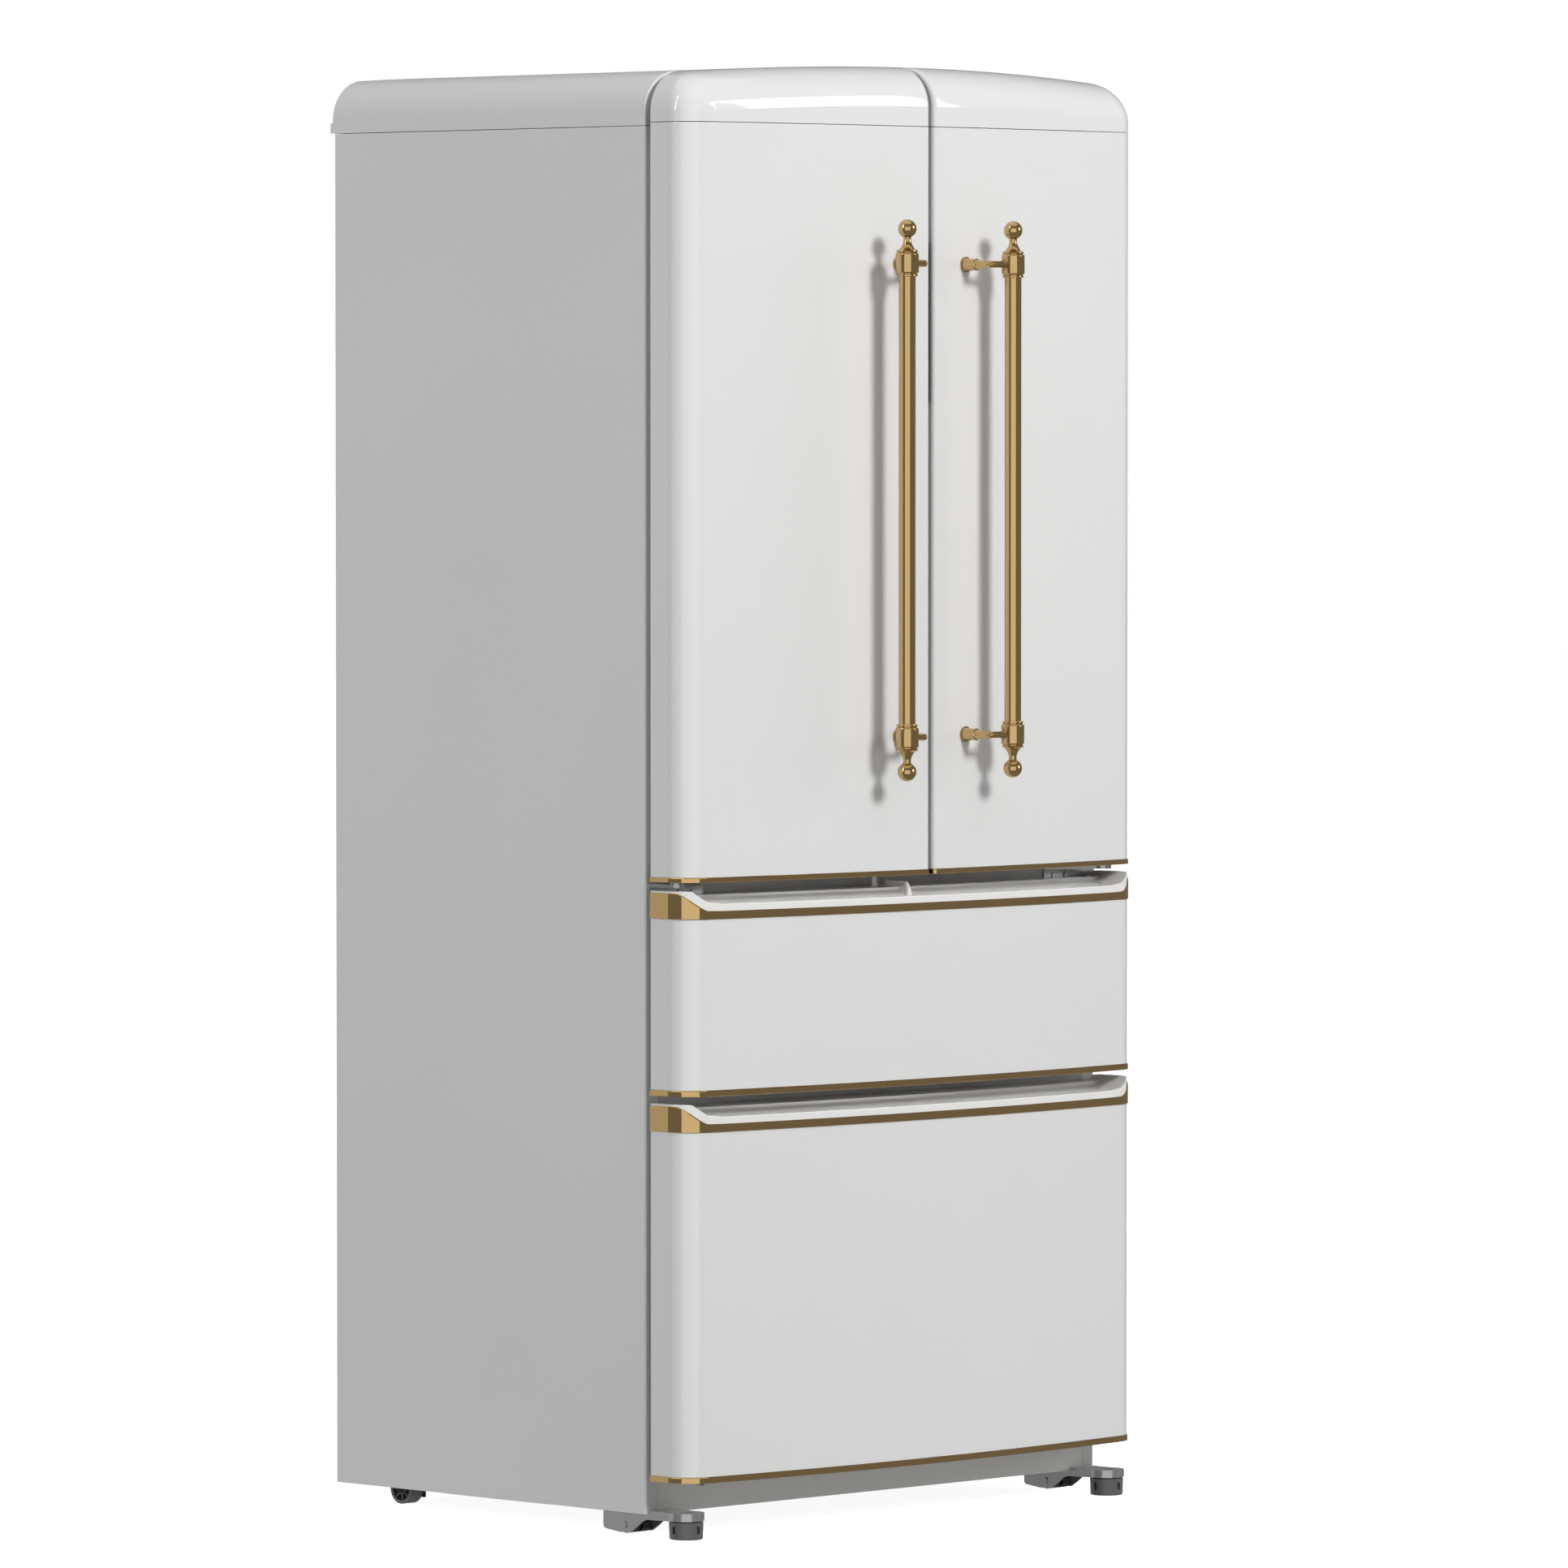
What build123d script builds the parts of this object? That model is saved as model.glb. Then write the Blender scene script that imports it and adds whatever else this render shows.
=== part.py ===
from build123d import *
import os
from math import sqrt, sin, cos, radians

# French door refrigerator with two drawers, in millimetres.
# X runs across (the viewer's right is +X), Y runs to the back, Z is up, and the floor is Z = 0.

# ---- driving dimensions -------------------------------------------------------------------
CAB_W = 790.0              # cabinet width
CAB_D = 550.0              # cabinet depth, front flange to back sheet
SIDE_BOTTOM_Z = 28.0       # lower edge of the cabinet sides
CRACK_Z = 1704.5           # joint between cabinet and its top cap
TOTAL_H = 1782.5           # highest point of the crown
CROWN_R = 5400.0           # radius of the crown seen from the front
SHOULDER_R = 50.0          # radius of the cap's shoulders
CAP_OVERHANG = 6.0         # top cap past the back sheet
CAP_LIP = 9.6              # rear lip past the back sheet
CAP_LIP_H = 12.5
SHEET = 1.2                # sheet and skin thickness
CAP_WALL = 3.0
FLANGE_W = 21.0            # folded front flange of each cabinet side
FRONT_EDGE_R = 3.5

DOOR_HALF_W = 395.5        # half width of doors and drawer fronts
DOOR_PROUD = 99.0          # bowed front at its middle, ahead of the cabinet front
DOOR_GAP = 10.0            # gasket gap between cabinet and doors
BOW_R = 2922.0             # radius of the bowed front seen from above
CORNER_R = 36.0            # vertical front corners
DOOR_SPLIT = 7.0           # gap between the two doors
FREE_EDGE_R = 2.5          # rounding of the doors' free edges
DOOR_BOTTOM_Z = 794.0
DOOR_TRIM_H = 6.0
DOOR_CRACK_Z = 1708.5      # joint between a door and its domed cap
CRACK = 0.8                # width of the cap joints
MID_BOTTOM_Z = 536.0       # middle drawer
MID_BAND_Z = 750.0
LOW_BOTTOM_Z = 69.0        # lower drawer
LOW_BAND_Z = 493.0
STRIP_H = 7.3              # brass strip under each drawer front
BAND_FRONT_H = 9.5         # brass band at the front
BAND_SIDE_H = 31.5         # brass band at the sides
SCOOP_H = 33.5             # white finger scoop
TRIM_PROUD = 1.6           # brass past the enamel
SCOOP_LIP = 8.0            # thickness of the lip in front of the finger trough
SCOOP_LIP_H = 8.8          # lip above the brass band
SCOOP_DEPTH = 47.0         # from the lip's face to the rear wall of the trough
SCOOP_LEDGE = 6.5          # top of the rear wall below the shoulders
RIB_W = 10.0               # rib across the middle of the upper trough
RIB_DEPTH = (39.0, 80.0)

ROD_X = 93.0               # handle rods
ROD_PROUD = 146.7          # rod axis ahead of the cabinet front
ROD_R = 10.3
POST_X = 58.7
POST_Z = (964.3, 1541.0)
FERRULE_R = 14.25
FERRULE_H = 22.6
BALL_R = 11.5
BALL_OFFSET = 41.8         # ball centre past the post height
NECK_R = 4.75
RING_H = 4.5               # turned ring past each end of a ferrule
RING_R = 13.5
ELBOW_BACK = 5.0           # elbow of a bracket behind the rod's axis
STALK_R = 4.65             # bracket's slim end

PIN_IN = 20.0              # door hinge pin in from the cabinet side
PIN_PROUD = 33.0           # door hinge pin ahead of the cabinet front
PIN_R = 5.0

INNER_HALF_W = 350.0       # compartments
LINER = 3.0
LINER_BACK = 480.0
FRIDGE_Z = (812.0, 1655.0)
MID_Z = (556.0, 762.0)
LOW_Z = (100.0, 503.0)
LOW_STEP_Z = 312.0         # the lower compartment steps over the machine space
LOW_STEP_BACK = 345.0
MACHINE_FRONT = 352.0
MACHINE_TOP_Z = 304.0
BASE_Z = 30.0

RAIL_LENGTH = 420.0
RAIL_START = 12.0
RAIL_GAP = 0.5
MID_RAIL_Z = 706.0
LOW_RAIL_Z = 420.0

FOOT_X = 370.6
FOOT_PROUD = 45.3
FOOT_R = 20.85
FOOT_H = 21.5
ROLLER_Z = 12.5
ROLLER_BACK = 42.0
REAR_ROLLER_R = 19.0
REAR_ROLLER_W = 20.0
REAR_ROLLER_X = 325.0
REAR_ROLLER_BACK = 498.0
FIT = 0.1                  # running clearance of a shaft in its hole
CLEAR = 0.4                # clearance between pieces that move past each other
SCREW_R = 4.5
SCREW_HEAD = 1.5

# ---- derived places ------------------------------------------------------------------------
HALF_W = CAB_W / 2
DEPTH = CAB_D + CAP_LIP + ROD_PROUD + FERRULE_R
FRONT_Y = -DEPTH / 2 + ROD_PROUD + FERRULE_R      # plane of the cabinet front
BACK_Y = FRONT_Y + CAB_D
DOOR_BACK_Y = FRONT_Y - DOOR_GAP
DOOR_FRONT_Y = FRONT_Y - DOOR_PROUD
BOW_Y = DOOR_FRONT_Y + BOW_R                      # centre of the bow
ROD_Y = FRONT_Y - ROD_PROUD
PIN_X = HALF_W - PIN_IN
PIN_Y = FRONT_Y - PIN_PROUD
DOOR_BODY_Z = DOOR_BOTTOM_Z + DOOR_TRIM_H
LINER_BACK_Y = FRONT_Y + LINER_BACK
FAR = 1000.0                                      # longer than any cut needs


def bow_y(x, grow=0.0):
    """Y of the bowed front at x, moved outwards by grow."""
    return BOW_Y - sqrt((BOW_R + grow) ** 2 - x**2)


def plan(grow=0.0, back=DOOR_BACK_Y, left=-FAR, right=FAR, round_corners=True):
    """Plan outline of the doors and drawer fronts, cut to the stretch from left to right."""
    half = DOOR_HALF_W + grow
    side_y = bow_y(half, grow)
    with BuildSketch() as outline:
        with BuildLine():
            Line((-half, back), (-half, side_y))
            ThreePointArc((-half, side_y), (0, DOOR_FRONT_Y - grow), (half, side_y))
            Polyline((half, side_y), (half, back), (-half, back))
        make_face()
        if round_corners:
            fillet(outline.vertices().group_by(Axis.Y)[0], CORNER_R + grow)
        with Locations(((left + right) / 2, 0)):
            Rectangle(right - left, 2 * FAR, mode=Mode.INTERSECT)
        for x in (left, right):
            if abs(x) < FAR:
                fillet(outline.vertices().sort_by_distance((x, bow_y(x, grow), 0))[0], FREE_EDGE_R)
    return outline.sketch


def box_between(low, high, mode=Mode.ADD):
    """A box from its low corner to its high corner."""
    with Locations([tuple((a + b) / 2 for a, b in zip(low, high))]):
        Box(*(b - a for a, b in zip(low, high)), mode=mode)


def save(piece, label):
    piece.part.label = label
    export_step(piece.part, f"parts/{label}.step")


def arch(half, base, inset=0.0):
    """Front view of the crowned top: level shoulders of SHOULDER_R under a shallow arc."""
    radius = CROWN_R - inset
    top = TOTAL_H - inset
    shoulder = top - radius + sqrt(radius**2 - half**2)
    with BuildSketch() as outline:
        with BuildLine():
            Line((-half, base), (-half, shoulder))
            ThreePointArc((-half, shoulder), (0, top), (half, shoulder))
            Polyline((half, shoulder), (half, base), (-half, base))
        make_face()
        fillet(outline.vertices().group_by(Axis.Y)[-1], SHOULDER_R - inset)
    return outline.sketch


def door_dome(inset, base, back):
    """Domed block over both doors, with the front corners and the top edge rounded alike."""
    with BuildPart() as dome:
        with BuildSketch(Plane.XZ.offset(-back)):
            add(arch(DOOR_HALF_W - inset, base, inset))
        extrude(amount=back - DOOR_FRONT_Y + 50)
        with BuildSketch(Plane.XY.offset(base - 1)):
            add(plan(-inset, back, round_corners=False))
        extrude(amount=TOTAL_H, mode=Mode.INTERSECT)
        front = dome.faces().sort_by(Axis.Y)[0]
        lowest = front.edges().sort_by(Axis.Z)[0]
        fillet([e for e in front.edges() if e.center() != lowest.center()], CORNER_R - inset)
    return dome.part


os.makedirs("parts", exist_ok=True)


# ---- cabinet -------------------------------------------------------------------------------
REAR_HOLE_HALF_W = 340.0                          # opening in the back sheet behind the machinery
REAR_HOLE_TOP_Z = 290.0
with BuildPart() as cabinet_shell:
    box_between((-HALF_W, FRONT_Y, SIDE_BOTTOM_Z), (HALF_W, BACK_Y, CRACK_Z))
    fillet(cabinet_shell.edges().filter_by(Axis.Z).group_by(Axis.Y)[0], FRONT_EDGE_R)
    box_between((-HALF_W + SHEET, FRONT_Y + SHEET, 0), (HALF_W - SHEET, BACK_Y - SHEET, CRACK_Z - SHEET),
                Mode.SUBTRACT)
    box_between((-HALF_W + FLANGE_W, FRONT_Y - 1, 0),
                (HALF_W - FLANGE_W, FRONT_Y + FLANGE_W, CRACK_Z - FLANGE_W), Mode.SUBTRACT)
    box_between((-REAR_HOLE_HALF_W, BACK_Y - 10, 0), (REAR_HOLE_HALF_W, BACK_Y + 1, REAR_HOLE_TOP_Z),
                Mode.SUBTRACT)
save(cabinet_shell, "cabinet_shell")

CAP_BASE_Z = CRACK_Z + CRACK
ARM_Z = 1709.3                                    # underside of the upper hinge arms
ARM_T = 3.0
ARM_SLOT_HALF_W = 16.0                            # notch in the cap for each upper arm
with BuildPart() as top_cap:
    with BuildSketch(Plane.XZ.offset(-(BACK_Y + CAP_OVERHANG))):
        add(arch(HALF_W, CAP_BASE_Z))
    extrude(amount=CAB_D + CAP_OVERHANG)
    with BuildSketch(Plane.XZ.offset(-(BACK_Y + CAP_OVERHANG - CAP_WALL))):
        add(arch(HALF_W - CAP_WALL, CAP_BASE_Z - 5, CAP_WALL))
    extrude(amount=CAB_D + CAP_OVERHANG - 2 * CAP_WALL, mode=Mode.SUBTRACT)
    box_between((-HALF_W, BACK_Y + CAP_OVERHANG - 1, CAP_BASE_Z),
                (HALF_W, BACK_Y + CAP_LIP, CAP_BASE_Z + CAP_LIP_H))
    for side in (-1, 1):
        box_between((side * PIN_X - ARM_SLOT_HALF_W, FRONT_Y - 1, CAP_BASE_Z - 1),
                    (side * PIN_X + ARM_SLOT_HALF_W, FRONT_Y + 5, ARM_Z + ARM_T + 1), Mode.SUBTRACT)
save(top_cap, "top_cap")

compartments = (
    (FRIDGE_Z[0], FRIDGE_Z[1], LINER_BACK),
    (MID_Z[0], MID_Z[1], LINER_BACK),
    (LOW_STEP_Z, LOW_Z[1], LINER_BACK),
    (LOW_Z[0], LOW_STEP_Z + 1, LOW_STEP_BACK),
)
FRAME_T = 2 * SHEET        # the front frame lies on and behind the side flanges
with BuildPart() as cabinet_foam:
    box_between((-HALF_W + SHEET, FRONT_Y + FRAME_T, BASE_Z + SHEET),
                (HALF_W - SHEET, BACK_Y - SHEET, CRACK_Z - SHEET))
    for low, high, depth in compartments:
        box_between((-INNER_HALF_W, FRONT_Y, low), (INNER_HALF_W, FRONT_Y + depth, high), Mode.SUBTRACT)
    box_between((-HALF_W, FRONT_Y + MACHINE_FRONT, 0), (HALF_W, BACK_Y, MACHINE_TOP_Z), Mode.SUBTRACT)
save(cabinet_foam, "cabinet_foam")

with BuildPart() as fridge_liner:
    box_between((-INNER_HALF_W, FRONT_Y + SHEET, FRIDGE_Z[0]), (INNER_HALF_W, LINER_BACK_Y, FRIDGE_Z[1]))
    box_between((-INNER_HALF_W + LINER, FRONT_Y, FRIDGE_Z[0] + LINER),
                (INNER_HALF_W - LINER, LINER_BACK_Y - LINER, FRIDGE_Z[1] - LINER), Mode.SUBTRACT)
save(fridge_liner, "fridge_liner")

with BuildPart() as drawer_liners:
    for low, high, depth in compartments[1:]:
        box_between((-INNER_HALF_W, FRONT_Y + SHEET, low), (INNER_HALF_W, FRONT_Y + depth, high))
    for low, high, depth in compartments[1:]:
        floor = low - 2 if low == LOW_STEP_Z else low + LINER
        roof = high + 2 if high == LOW_STEP_Z + 1 else high - LINER
        box_between((-INNER_HALF_W + LINER, FRONT_Y, floor),
                    (INNER_HALF_W - LINER, FRONT_Y + depth - LINER, roof), Mode.SUBTRACT)
    box_between((-INNER_HALF_W + LINER, FRONT_Y + LOW_STEP_BACK - LINER, LOW_STEP_Z),
                (INNER_HALF_W - LINER, LINER_BACK_Y - LINER, LOW_STEP_Z + LINER))
save(drawer_liners, "drawer_liners")

KICK_TOP_Z = 88.0
KICK_FOLD = 14.0                                  # lower edge folded back
with BuildPart() as front_frame:
    box_between((-HALF_W + SHEET, FRONT_Y + SHEET, KICK_TOP_Z),
                (HALF_W - SHEET, FRONT_Y + FRAME_T, CRACK_Z - SHEET))
    box_between((-HALF_W + FLANGE_W, FRONT_Y, KICK_TOP_Z),
                (HALF_W - FLANGE_W, FRONT_Y + SHEET, CRACK_Z - FLANGE_W))
    for low, high in (FRIDGE_Z, MID_Z, LOW_Z):
        box_between((-INNER_HALF_W, FRONT_Y - 1, low), (INNER_HALF_W, FRONT_Y + FRAME_T + 1, high),
                    Mode.SUBTRACT)
save(front_frame, "front_frame")

with BuildPart() as kick_panel:
    half = HALF_W - FLANGE_W - 0.5
    box_between((-half, FRONT_Y, SIDE_BOTTOM_Z), (half, FRONT_Y + SHEET, KICK_TOP_Z))
    box_between((-half, FRONT_Y, SIDE_BOTTOM_Z), (half, FRONT_Y + KICK_FOLD, SIDE_BOTTOM_Z + SHEET))
save(kick_panel, "kick_panel")

REAR_COVER_T = 2.0
REAR_COVER_HALF_W = 345.0
REAR_COVER_Z = (44.0, 296.0)
VENT_X = 215.0
VENT_Z = 165.0
GLAND = (300.0, 70.0)                             # x and z of the cord gland
GLAND_R = 11.0
with BuildPart() as rear_cover:
    box_between((-REAR_COVER_HALF_W, BACK_Y - SHEET - REAR_COVER_T, REAR_COVER_Z[0]),
                (REAR_COVER_HALF_W, BACK_Y - SHEET, REAR_COVER_Z[1]))
    with BuildSketch(Plane.XZ.offset(-BACK_Y)):
        for x in (-VENT_X, VENT_X):
            with Locations((x, VENT_Z)):
                with GridLocations(44, 14, 4, 12):
                    SlotOverall(36, 6)
    extrude(amount=10, mode=Mode.SUBTRACT)
    with Locations(Plane(origin=(GLAND[0], BACK_Y - SHEET, GLAND[1]), z_dir=(0, 1, 0))):
        Cylinder(GLAND_R, 2 * SHEET, align=(Align.CENTER, Align.CENTER, Align.MIN))
        Hole(4)
save(rear_cover, "rear_cover")

TRAY_Z = 12.0
TRAY_HALF_W = 290.0                               # evaporation pan pressed into the base
TRAY_DEPTH = (270.0, 480.0)
TRAY_CHAMFER = 12.0
TRAY_RIM = 16.0
AXLE_R = 4.0
FORK_T = 3.0                                      # rear roller forks
FORK_DEPTH = (478.0, 518.0)
FORK_Z = 8.0
WELL_GAP = 3.0                                    # room round each rear roller
with BuildPart() as base_tray:
    box_between((-TRAY_HALF_W, FRONT_Y + TRAY_DEPTH[0], TRAY_Z),
                (TRAY_HALF_W, FRONT_Y + TRAY_DEPTH[1], BASE_Z))
    chamfer(base_tray.edges().filter_by(Axis.X).group_by(Axis.Z)[0], TRAY_CHAMFER)
    box_between((-HALF_W + SHEET, FRONT_Y + KICK_FOLD, BASE_Z),
                (HALF_W - SHEET, BACK_Y - SHEET - REAR_COVER_T, BASE_Z + SHEET))
    box_between((-TRAY_HALF_W + 4, FRONT_Y + TRAY_DEPTH[0] + TRAY_RIM, TRAY_Z + SHEET),
                (TRAY_HALF_W - 4, FRONT_Y + TRAY_DEPTH[1] - TRAY_RIM, BASE_Z + SHEET + 1), Mode.SUBTRACT)
    for side in (-1, 1):
        inner = side * (REAR_ROLLER_X - REAR_ROLLER_W / 2 - 1)
        outer = side * (REAR_ROLLER_X + REAR_ROLLER_W / 2 + WELL_GAP)
        fork = sorted((inner, inner - side * FORK_T))
        box_between((fork[0], FRONT_Y + FORK_DEPTH[0], FORK_Z), (fork[1], FRONT_Y + FORK_DEPTH[1], BASE_Z))
        well = sorted((inner, outer))
        reach = REAR_ROLLER_R + WELL_GAP
        box_between((well[0], FRONT_Y + REAR_ROLLER_BACK - reach, BASE_Z - 1),
                    (well[1], FRONT_Y + REAR_ROLLER_BACK + reach, BASE_Z + SHEET + 1), Mode.SUBTRACT)
        axle = Plane(origin=(inner - side * FORK_T, FRONT_Y + REAR_ROLLER_BACK, REAR_ROLLER_R),
                     z_dir=(side, 0, 0))
        with Locations(axle):
            Cylinder(AXLE_R, REAR_ROLLER_W + 6, align=(Align.CENTER, Align.CENTER, Align.MIN))
        with Locations(axle.offset(REAR_ROLLER_W + 4 + CLEAR)):
            Cylinder(AXLE_R + 1.5, 2, align=(Align.CENTER, Align.CENTER, Align.MIN))
save(base_tray, "base_tray")

# ---- refrigerating machinery ---------------------------------------------------------------
COMP_X = -175.0
COMP_Y = FRONT_Y + 450.0
COMP_R = (95.0, 75.0)
COMP_H = 175.0
COMP_CROWN = 45.0
COMP_PLATE = (120.0, 55.0)                        # half size of the mounting plate
COMP_FOOT_R = 11.0
RELAY_X = (80.0, 118.0)                           # electrical box on the compressor's side
RELAY_Z = (60.0, 125.0)
with BuildPart() as compressor:
    with BuildSketch(Plane.XY.offset(BASE_Z + 13)):
        with Locations((COMP_X, COMP_Y)):
            Ellipse(*COMP_R)
    extrude(amount=COMP_H)
    fillet(compressor.edges().group_by(Axis.Z)[-1], COMP_CROWN)
    box_between((COMP_X - COMP_PLATE[0], COMP_Y - COMP_PLATE[1], BASE_Z + 10),
                (COMP_X + COMP_PLATE[0], COMP_Y + COMP_PLATE[1], BASE_Z + 14))
    with Locations((COMP_X, COMP_Y, BASE_Z + SHEET)):
        with GridLocations(210, 80, 2, 2):
            Cylinder(COMP_FOOT_R, 10, align=(Align.CENTER, Align.CENTER, Align.MIN))
    box_between((COMP_X + RELAY_X[0], COMP_Y - 30, BASE_Z + RELAY_Z[0]),
                (COMP_X + RELAY_X[1], COMP_Y + 30, BASE_Z + RELAY_Z[1]))
save(compressor, "compressor")

COIL_X = 215.0
COIL_REACH = 85.0
COIL_PITCH = (38.0, 34.0)                         # between rows, and between turns
COIL_TURNS = 6
COIL_BEND_R = 12.0
COIL_TUBE_R = 4.0
COIL_ROWS = [FRONT_Y + 385 + COIL_PITCH[0] * row for row in range(4)]
COIL_PLATE_H = 215.0
FAN_X = 80.0
FAN_R = 62.0
FAN_Z = 120.0
RING_WALL = 8.0                                   # ring round the fan
RING_GAP = 4.0
RING_L = 24.0
MOTOR_R = 20.0
MOTOR_X = FAN_X + 26
with BuildPart() as condenser:
    for y in COIL_ROWS:
        points = []
        for turn in range(COIL_TURNS):
            z = BASE_Z + 25 + COIL_PITCH[1] * turn
            reach = COIL_REACH if turn % 2 == 0 else -COIL_REACH
            points += [(COIL_X - reach, y, z), (COIL_X + reach, y, z)]
        with BuildLine() as coil_path:
            FilletPolyline(*points, radius=COIL_BEND_R)
        with BuildSketch(Plane(origin=points[0], z_dir=(1, 0, 0))):
            Circle(COIL_TUBE_R)
        sweep(path=coil_path.line)
    for x in (COIL_X - 60, COIL_X, COIL_X + 60):
        box_between((x - 1, COIL_ROWS[0] - 10, BASE_Z + SHEET),
                    (x + 1, COIL_ROWS[-1] + 10, BASE_Z + COIL_PLATE_H))
    ring_r = FAN_R + RING_GAP + RING_WALL
    with Locations(Plane(origin=(FAN_X, COMP_Y, FAN_Z), z_dir=(1, 0, 0))):
        Cylinder(ring_r, RING_L)
        Cylinder(FAN_R + RING_GAP, 2 * RING_L, mode=Mode.SUBTRACT)
    with Locations(Plane(origin=(MOTOR_X, COMP_Y, FAN_Z), z_dir=(1, 0, 0))):
        Cylinder(MOTOR_R, 20)
    box_between((FAN_X + 18, COMP_Y - ring_r, FAN_Z - 5), (FAN_X + 22, COMP_Y + ring_r, FAN_Z + 5))
    for side in (-1, 1):
        y = COMP_Y + side * (ring_r - 4)
        box_between((FAN_X - 10, y - 4, BASE_Z + SHEET), (FAN_X + 22, y + 4, FAN_Z + 6))
    box_between((FAN_X + 16, COMP_Y - ring_r, BASE_Z + SHEET),
                (COIL_X + 61, COMP_Y - ring_r + 8, BASE_Z + SHEET + 6))
save(condenser, "condenser")


def fan(origin, axis, radius, hub_r, hub_l, blades, label):
    """Axial fan: a hub with flat pitched blades."""
    with BuildPart(Plane(origin=origin, z_dir=axis)) as wheel:
        Cylinder(hub_r, hub_l)
        with PolarLocations(radius / 2 + hub_r / 2 - 1, blades):
            with Locations(Location((0, 0, 0), (28, 0, 0))):
                Box(radius - hub_r - 1, hub_l, 1.6)
    save(wheel, label)


fan((FAN_X, COMP_Y, FAN_Z), (1, 0, 0), FAN_R, 16, 24, 6, "condenser_fan")

DUCT_HALF_W = 120.0
DUCT_Z = (1035.0, 1600.0)
DUCT_Y = LINER_BACK_Y - LINER - 50
COOLER_FAN_Z = 1400.0
OUTLET_X = 78.0
with BuildPart() as air_duct:
    box_between((-DUCT_HALF_W, DUCT_Y, DUCT_Z[0]), (DUCT_HALF_W, LINER_BACK_Y - LINER, DUCT_Z[1]))
    fillet(air_duct.edges().filter_by(Axis.Z).group_by(Axis.Y)[0], 12)
    box_between((-DUCT_HALF_W + LINER, DUCT_Y + LINER, DUCT_Z[0] + LINER),
                (DUCT_HALF_W - LINER, LINER_BACK_Y, DUCT_Z[1] - LINER), Mode.SUBTRACT)
    with BuildSketch(Plane.XZ.offset(-DUCT_Y - 10)):
        for x in (-OUTLET_X, OUTLET_X):
            with Locations((x, COOLER_FAN_Z + 130)):
                with GridLocations(1, 14, 1, 5):
                    SlotOverall(50, 6)
    extrude(amount=20, mode=Mode.SUBTRACT)
save(air_duct, "air_duct")

FIN_HALF_T = 0.5
FIN_DEPTH = 40.0
FIN_Z = (1050, 1295)
with BuildPart() as evaporator:
    for z in range(FIN_Z[0] + 15, FIN_Z[1], 24):
        with Locations(Plane(origin=(0, LINER_BACK_Y - LINER - 22, z), z_dir=(1, 0, 0))):
            Cylinder(COIL_TUBE_R, 200)
    for x in range(-90, 91, 12):
        box_between((x - FIN_HALF_T, LINER_BACK_Y - LINER - FIN_DEPTH, FIN_Z[0]),
                    (x + FIN_HALF_T, LINER_BACK_Y - LINER, FIN_Z[1]))
save(evaporator, "evaporator")

fan((0, LINER_BACK_Y - LINER - 26, COOLER_FAN_Z), (0, 1, 0), 55, 14, 16, 7, "evaporator_fan")

# ---- fittings of the upper compartment -----------------------------------------------------
SHELF_FRONT = FRONT_Y + 92
SHELF_T = 5.0
SHELF_Z = (1012.0, 1190.0, 1385.0)
with BuildPart() as glass_shelves:
    for z in SHELF_Z:
        box_between((-INNER_HALF_W + LINER, SHELF_FRONT, z), (INNER_HALF_W - LINER, DUCT_Y - 4, z + SHELF_T))
save(glass_shelves, "glass_shelves")

LIGHT_HALF_W = 110.0
LIGHT_DEPTH = (150.0, 200.0)
LIGHT_H = 7.0
with BuildPart() as compartment_light:
    box_between((-LIGHT_HALF_W, FRONT_Y + LIGHT_DEPTH[0], FRIDGE_Z[1] - LINER - LIGHT_H),
                (LIGHT_HALF_W, FRONT_Y + LIGHT_DEPTH[1], FRIDGE_Z[1] - LINER))
    fillet(compartment_light.edges().group_by(Axis.Z)[0], 4)
save(compartment_light, "compartment_light")


def open_bin(low, high, wall, radius):
    """Open-topped bin with rounded upright corners."""
    with BuildPart() as tub:
        box_between(low, high)
        fillet(tub.edges().filter_by(Axis.Z), radius)
        offset(amount=-wall, openings=tub.faces().sort_by(Axis.Z)[-1])
    return tub.part


BIN_WALL = 2.5
CRISPER_FRONT = FRONT_Y + 150
CRISPER_HALF_W = 338.0
CRISPER_TOP_Z = 985.0
CRISPER_BASE_Z = FRIDGE_Z[0] + LINER + CLEAR
with BuildPart() as crisper_drawer:
    add(open_bin((-CRISPER_HALF_W, CRISPER_FRONT, CRISPER_BASE_Z),
                 (CRISPER_HALF_W, LINER_BACK_Y - 25, CRISPER_TOP_Z), BIN_WALL, 14))
    box_between((-1.5, CRISPER_FRONT + 2, CRISPER_BASE_Z + 1), (1.5, LINER_BACK_Y - 27, CRISPER_TOP_Z - 10))
    with BuildSketch(Plane.XZ.offset(-CRISPER_FRONT - 10)):
        for x in (-CRISPER_HALF_W / 2, CRISPER_HALF_W / 2):
            with Locations((x, CRISPER_TOP_Z - 45)):
                SlotOverall(120, 26)
    extrude(amount=20, mode=Mode.SUBTRACT)
save(crisper_drawer, "crisper_drawer")

# ---- hinges --------------------------------------------------------------------------------
GAP_PLATE_Z = 787.2
GAP_PLATE_T = 4.3
PIN_UP = 16.0
LUG_Z = 771.0                                     # lower edge of the plate screwed to the frame
ROOT_X = (HALF_W - 4, 300.0)                      # the plate's outer and inner end
KNUCKLE_R = 9.0


def hinge_arm(side, z, thickness, root_y, root_x, width):
    """Flat arm with a round end about the hinge pin, widening to its root."""
    pin = side * PIN_X
    with BuildSketch(Plane.XY.offset(z)) as outline:
        with Locations((pin, PIN_Y)):
            Circle(width / 2)
        with BuildLine():
            Polyline((pin - width / 2, PIN_Y), (pin + width / 2, PIN_Y), (max(root_x), root_y),
                     (min(root_x), root_y), (pin - width / 2, PIN_Y))
        make_face()
    extrude(outline.sketch, amount=thickness)


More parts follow.
